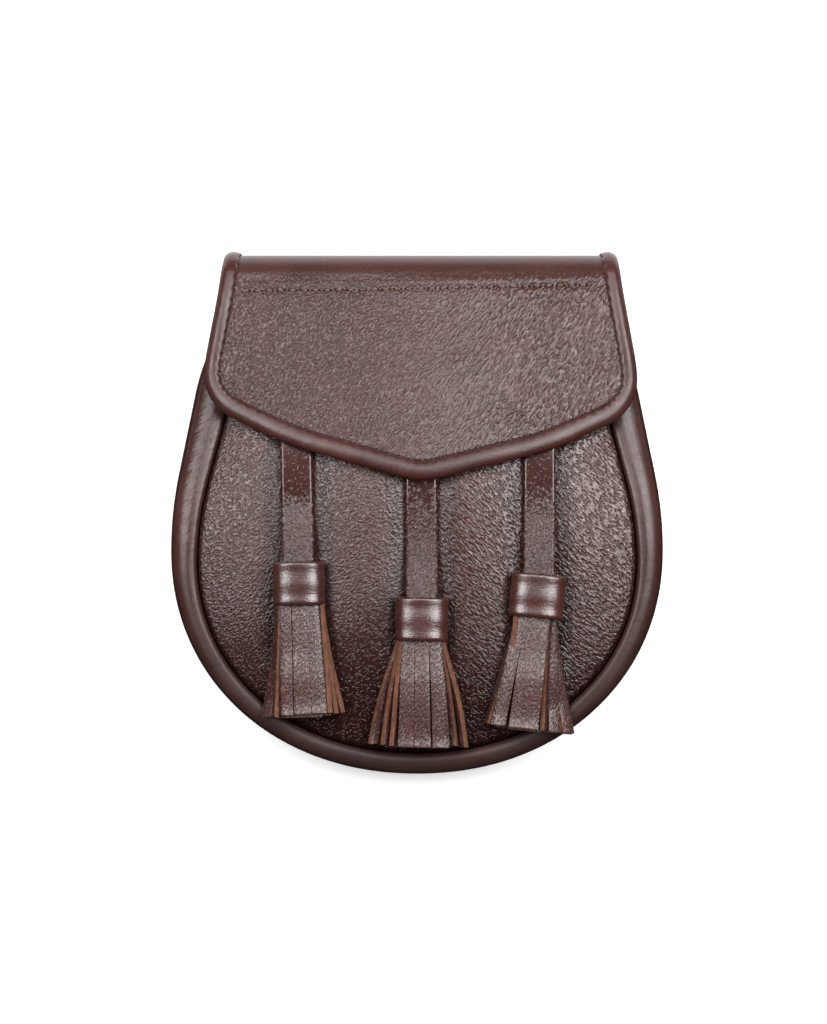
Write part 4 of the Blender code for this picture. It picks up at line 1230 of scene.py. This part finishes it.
def make_binding():
    edge = flap_outline(0.0)
    lengths = lengths_along(edge)
    inward = normals_to_left(edge)
    face = [(width, 0.0, height) for width, height in curve_through(numbers(BINDING_FACE), 4)]
    low, high, deep = -BINDING_SLOT_HEIGHT, BINDING_SLOT_HEIGHT, BINDING_SLOT_DEPTH
    slot = [(1.0, 0.0, low), (0.0, deep, low), (0.0, deep, high), (1.0, 0.0, high)]
    widths, depths, heights = np.array([*face, *slot]).T
    pitch = lengths[-1] / round(lengths[-1] / BINDING_SEWING.pitch)

    def place(along, round_section):
        at = along * lengths[-1]
        x, v, in_x, in_v = (np.interp(at, lengths, line) for line in (*edge.T, *inward.T))
        line = nearest(round_section, len(widths)) % len(widths)
        out = flap_normal(x, v)
        inner = bent_over(x + in_x * MM, v + in_v * MM) - bent_over(x, v)
        inner -= out * (inner * out).sum(axis=1, keepdims=True)
        inner /= np.linalg.norm(inner, axis=1, keepdims=True)
        near_lip = ease(widths[line], 0.70, 1.0) * (heights[line] > BINDING_SLOT_HEIGHT)
        at_hole = 0.5 + 0.5 * np.cos((at / pitch) * 2 * math.pi)
        pull = near_lip * at_hole**2
        inset = widths[line] * binding_width(v) + depths[line] - STITCH_PULLS_LIP_OUT * pull
        wave = columns(at / BINDING_SWELL_PITCH, heights[line] * 300, widths[line])
        swell = BINDING_SWELL * unevenness(wave, 1.0, 8) * (heights[line] > 0)
        height = heights[line] - STITCH_PULLS_LIP_DOWN * pull + swell
        return bent_over(x, v) + inner * inset[:, None] + out * height[:, None]

    form = grid(720, len(widths), place)
    close(form)
    made = add("flap_binding_leather", form, [SMOOTH_BINDING])
    place_piece(made, "flap_binding", slot="smooth_binding")


def sew_flap():
    """The row along the binding's inner lip, the row across the flap, and the same seam on its lap."""
    edge = flap_outline(0.0)
    width = binding_width(edge[:, 1]) - BINDING_STITCH_INSET
    x, v = (edge + normals_to_left(edge) * width[:, None]).T
    outs = flap_normal(x, v)
    surface = bent_over(x, v) + outs * BINDING_STITCH_HEIGHT
    sew("flap_binding", surface, outs, DARK_THREAD, BINDING_SEWING)
    span = FLAP_HALF_WIDTH_AT_FOLD - BINDING_SIDE_WIDTH - FLAP_ROW_END_GAP
    x = np.linspace(-span, span, 120)
    v = flap_row_y(x)
    outs = flap_normal(x, v)
    relief = flap_relief(x, v, x / FLAP_HALF_WIDTH_AT_FOLD)
    surface = bent_over(x, v) + outs * (FLAP_LEATHER / 2 + relief)[:, None]
    sew("flap_row", surface + outs * FLAP_ROW_LIFT, outs, PALE_THREAD, FLAP_ROW_SEWING)
    x, v = x * LAP_ROW_SHARE, np.full_like(x, FOLD_START_Y + FOLD_LENGTH + FLAP_LAP - LAP_ROW_INSET)
    outs = flap_normal(x, v)
    surface = bent_over(x, v) + outs * (FLAP_LEATHER / 2 + LAP_ROW_LIFT)
    sew("flap_lap", surface, outs, BROWN_THREAD, BACK_SEWING)


def tassel_place(tassel):
    """Where the middle of the cap's top edge is, with -Y running down the tassel."""
    x, y = tassel.x, tassel.cap_top_y
    under = max(float(panel_height(np.array(x), np.array(at))) for at in (y, y - CAP_LENGTH / 2))
    middle = Matrix.Translation((x, y, under + STRAP_CLEARANCE + CAP_DEPTH / 2))
    return middle @ Matrix.Rotation(math.radians(-tassel.tilt_degrees), 4, "Z")


def make_strap(tassel):
    """A strap lies in its trough, then rises into the cap at its end."""
    y, top_y = tassel.cap_top_y, tassel.strap_top_y
    into_cap = tassel_place(tassel).translation.z - STRAP_LEATHER / 2
    bottom_y = y - STRAP_INTO_CAP
    lean = (tassel.strap_top_x - tassel.x) / (top_y - y)
    flap_edge = top_y - STRAP_UNDER_FLAP

    def place(across, along):
        at_y = bottom_y + (top_y - bottom_y) * along
        at_x = tassel.x + lean * (at_y - y) + (across - 0.5) * STRAP_WIDTH
        under = [panel_height(at_x + (edge - across) * STRAP_WIDTH, at_y) for edge in (0.0, 0.5, 1.0)]
        rise = STRAP_LIFT_AT_FLAP * ease(at_y, flap_edge - STRAP_RISES_FOR, flap_edge)
        lying = np.maximum.reduce(under) + STRAP_CLEARANCE + rise * (1.0 - ease(at_y, flap_edge, top_y))
        lift = (1.0 - np.clip((at_y - y) / STRAP_LIFT_LENGTH, 0.0, 1.0)) ** 1.3
        points = columns(at_x, at_y, lying + (into_cap - lying) * lift)
        swell = STRAP_SWELL * unevenness(points * (0.1, 1.0, 0.0), STRAP_SWELL_PITCH, 6)
        points[:, 2] += swell - STRAP_CURL * (2 * across - 1) ** 4
        return points

    name, form = f"strap_{tassel.side}", grid(10, 72, place)
    leather(f"{name}_leather", form, GRAINED_STRAP, STRAP_LEATHER, f"tassel_{name}", name, offset=1.0)


def make_cap(tassel):
    """A short oval tube of wrapped leather with rounded edges."""
    rows = [(share * CAP_LENGTH + beyond, inset) for share, beyond, inset in numbers(CAP_PROFILE)]
    below, inset = curve_through([*rows, rows[0]], 3)[:-1].T
    power = 2.0 / CAP_ROUNDNESS

    def place(around, round_wall):
        line = nearest(round_wall, len(below)) % len(below)
        cos, sin = np.cos(around * 2 * math.pi), np.sin(around * 2 * math.pi)
        wave = columns(cos * 1.2, sin * 1.2, below[line] / 0.005)
        dent = CAP_DENT * unevenness(wave, 1.0, 11 + len(tassel.side))
        x = np.sign(cos) * np.abs(cos) ** power * (tassel.cap_width / 2 - inset[line] + dent)
        z = np.sign(sin) * np.abs(sin) ** power * (CAP_DEPTH / 2 - inset[line] + dent)
        return columns(x, -below[line], z)

    name, form = f"cap_{tassel.side}", grid(96, len(below), place)
    close(form)
    made = add(f"{name}_leather", form, [SMOOTH_CAP], tassel_place(tassel))
    place_piece(made, f"tassel_{name}", slot=name)


def make_strip(tassel, strip, seed):
    """One cut strip as an open surface that leaves the cap, spreads and turns."""
    place_on_pouch = tassel_place(tassel)
    start_y = STRIP_STARTS_IN_CAP - CAP_LENGTH
    start_z = (CAP_DEPTH / 2 - CAP_LEATHER - STRIP_LEATHER) * (strip.depth * 2 - 1)

    def place(across, along):
        share = np.clip(along * (1.0 + STRIP_PART_IN_CAP) - STRIP_PART_IN_CAP, 0.0, 1.0)
        still = share * 0
        in_cap = start_y - (start_y + CAP_LENGTH) * along / STRIP_LEAVES_CAP_AT
        below_cap = -CAP_LENGTH - tassel.fringe_length * strip.length * share
        y = np.where(along < STRIP_LEAVES_CAP_AT, in_cap, below_cap)
        x = strip.x + (strip.end_x - strip.x) * share**1.25 + strip.bow * np.sin(share * math.pi)
        x = x + STRIP_SWAY * unevenness(columns(share * 2, still, still), 1.0, seed)
        flat = [place_on_pouch @ Vector((*spot, 0.0)) for spot in zip(x, y)]
        flat_x, flat_y, flat_z = np.array(flat).T
        support = np.maximum(dome_height(flat_x, flat_y), crest_height(flat_y))
        rest = support + STRIP_CLEARANCE + STRIP_LAYER * (strip.layer + 0.1)
        settle = 1.0 - (1.0 - share) ** 1.8
        z = start_z + (rest - flat_z - start_z) * settle + STRIP_CURL * share**14
        turn = np.radians(strip.turn + (strip.end_turn - strip.turn) * ease(share, 0.0, 1.0))
        turn = turn * ease(share, -0.6, 0.25)
        cos, sin = np.cos(turn), np.sin(turn)
        half = (strip.width + (strip.end_width - strip.width) * share) / 2
        width = (across * 2 - 1) * half
        cup = STRIP_CUP * (1.0 - (across * 2 - 1) ** 2)
        wave = STRIP_WAVE * share * unevenness(columns(share * 3, still + 9, still), 1.0, seed + 40)
        z = z + np.maximum(half * np.abs(sin) - STRIP_LIES_UP_TO, 0.0)
        return columns(x + width * cos - cup * sin, y, z + width * sin + cup * cos + wave)

    return grid(3, 36, place, flip=True)


def make_fringe(tassel):
    name, form = f"fringe_{tassel.side}", bmesh.new()
    for index, strip in enumerate(STRIPS[tassel.side]):
        join(form, make_strip(tassel, strip, index * 3 + len(tassel.side)))
    finish = {"edge": CUT_EDGE, "rounding": STRIP_ROUNDING, "place": tassel_place(tassel)}
    leather(f"{name}_strips", form, GRAINED_STRIP, STRIP_LEATHER, f"tassel_{name}", name, **finish)


def make_snap_stud():
    """The two halves of a press stud, turned as one profile."""
    radius, height = np.array(numbers(STUD_PROFILE)).T

    def place_on_stud(around, along):
        line = nearest(along, len(radius) - 1)
        turn = around * 2 * math.pi
        return columns(radius[line] * np.cos(turn), radius[line] * np.sin(turn), height[line])

    form = grid(40, len(radius) - 1, place_on_stud)
    close(form)
    x, y = np.array(0.0), np.array(STUD_Y)
    below, above = float(panel_height(x, y)), float(bent_over(x, y)[2]) - FLAP_LEATHER / 2
    place = Matrix.Translation((0.0, STUD_Y, (below + above) / 2)) @ Matrix.Rotation(STUD_TILT, 4, "X")
    place_piece(add("press_stud", form, [TARNISHED_BRASS], place), "snap_stud", slot="stud_metal")


def make_belt_loop(side, middle_x):
    rows = curve_through(numbers(LOOP_PROFILE), 8)

    def place(across, along):
        y, z = rows[nearest(along, len(rows) - 1)].T
        return columns(middle_x + (across - 0.5) * LOOP_WIDTH, y, np.maximum(z, 0.0))

    name, form = f"belt_loop_{side}", grid(8, len(rows) - 1, place)
    slot = f"loop_{side}"
    leather(f"{name}_leather", form, SMOOTH_BACK, LOOP_LEATHER, name, slot, rounding=LOOP_ROUNDING)
    x = np.linspace(middle_x - LOOP_ROW_HALF_LENGTH, middle_x + LOOP_ROW_HALF_LENGTH, 12)
    for foot, foot_y in LOOP_ROWS:
        sew_on_back(f"{name}_{foot}", columns(x, np.full_like(x, foot_y)), LOOP_ROW_Z, LOOP_SEWING)


def sew_back_panel():
    """The seam along the back panel's edge."""
    rows = back_rows()
    edge = mirrored(rows[rows[:, 1] < BACK_SEAM_ENDS_Y, :2])
    seam = edge + normals_to_left(edge) * BACK_SEAM_INSET
    sew_on_back("back_seam", seam, BACK_Z - BACK_SEAM_LIFT, BACK_SEWING)


# --- floor, lights and camera


def make_floor():
    """White paper under the pouch; only what lies past the fold shows in the leather's gloss."""
    shader = Shader("floor_paper")
    paper = shader.finish(
        base_color=shader.mix(shader.spots(0.5, 1.0), (0.90, 0.90, 0.90), (0.91, 0.91, 0.91)),
        roughness=0.9,
        emission_color=(1.0, 1.0, 1.0, 1.0),
        emission_strength=PAPER_GLOW,
    )
    parts = (
        ("floor", -FLOOR_REACH, FLOOR_FOLD_Y, False),
        ("floor_past_fold", FLOOR_FOLD_Y, FLOOR_REACH, True),
    )
    for name, near, far, shows_in_gloss in parts:
        form = bmesh.new()
        corners = ((-FLOOR_REACH, near), (FLOOR_REACH, near), (FLOOR_REACH, far), (-FLOOR_REACH, far))
        form.faces.new([form.verts.new((x, y, 0.0)) for x, y in corners])
        floor = add(name, form, [paper])
        floor.visible_glossy = shows_in_gloss


def make_lights():
    scene = bpy.context.scene
    scene.world = bpy.data.worlds.new("studio")
    scene.world.use_nodes = True
    background = scene.world.node_tree.nodes["Background"]
    background.inputs["Color"].default_value = (1.0, 1.0, 1.0, 1.0)
    background.inputs["Strength"].default_value = WORLD_LIGHT
    scene.world.cycles_visibility.glossy = False
    for light in LIGHTS:
        lamp = bpy.data.lights.new(light.name, "AREA")
        lamp.shape = "RECTANGLE"
        lamp.size, lamp.size_y = light.size
        lamp.energy = light.power
        made = bpy.data.objects.new(light.name, lamp)
        made.location = light.place
        made.rotation_euler = Vector(light.place).to_track_quat("Z", "Y").to_euler()
        scene.collection.objects.link(made)


def make_camera():
    scene = bpy.context.scene
    camera = bpy.data.cameras.new("camera")
    camera.sensor_width = SENSOR_LONG_SIDE_MM
    photo_height = FRAME_PIXELS[1] * METRES_PER_PIXEL
    camera.lens = SENSOR_LONG_SIDE_MM * (CAMERA_HEIGHT - SCALE_HEIGHT) / photo_height
    off_x = (FRAME_PIXELS[0] / 2 - ORIGIN_PIXEL[0]) * METRES_PER_PIXEL
    off_y = (ORIGIN_PIXEL[1] - FRAME_PIXELS[1] / 2) * METRES_PER_PIXEL
    scene.camera = bpy.data.objects.new("camera", camera)
    scene.camera.location = (off_x, off_y, CAMERA_HEIGHT)
    scene.collection.objects.link(scene.camera)
    scene.view_settings.view_transform = "Standard"


def main():
    make_camera()
    make_lights()
    make_floor()
    make_gusset()
    make_front_panel()
    make_back_panel()
    flap = make_flap()
    make_binding()
    sew_flap()
    make_snap_stud()
    for tassel in TASSELS:
        make_strap(tassel)
        make_cap(tassel)
        make_fringe(tassel)
    make_belt_loop("left", -LOOP_X)
    make_belt_loop("right", LOOP_X)
    sew_back_panel()


main()
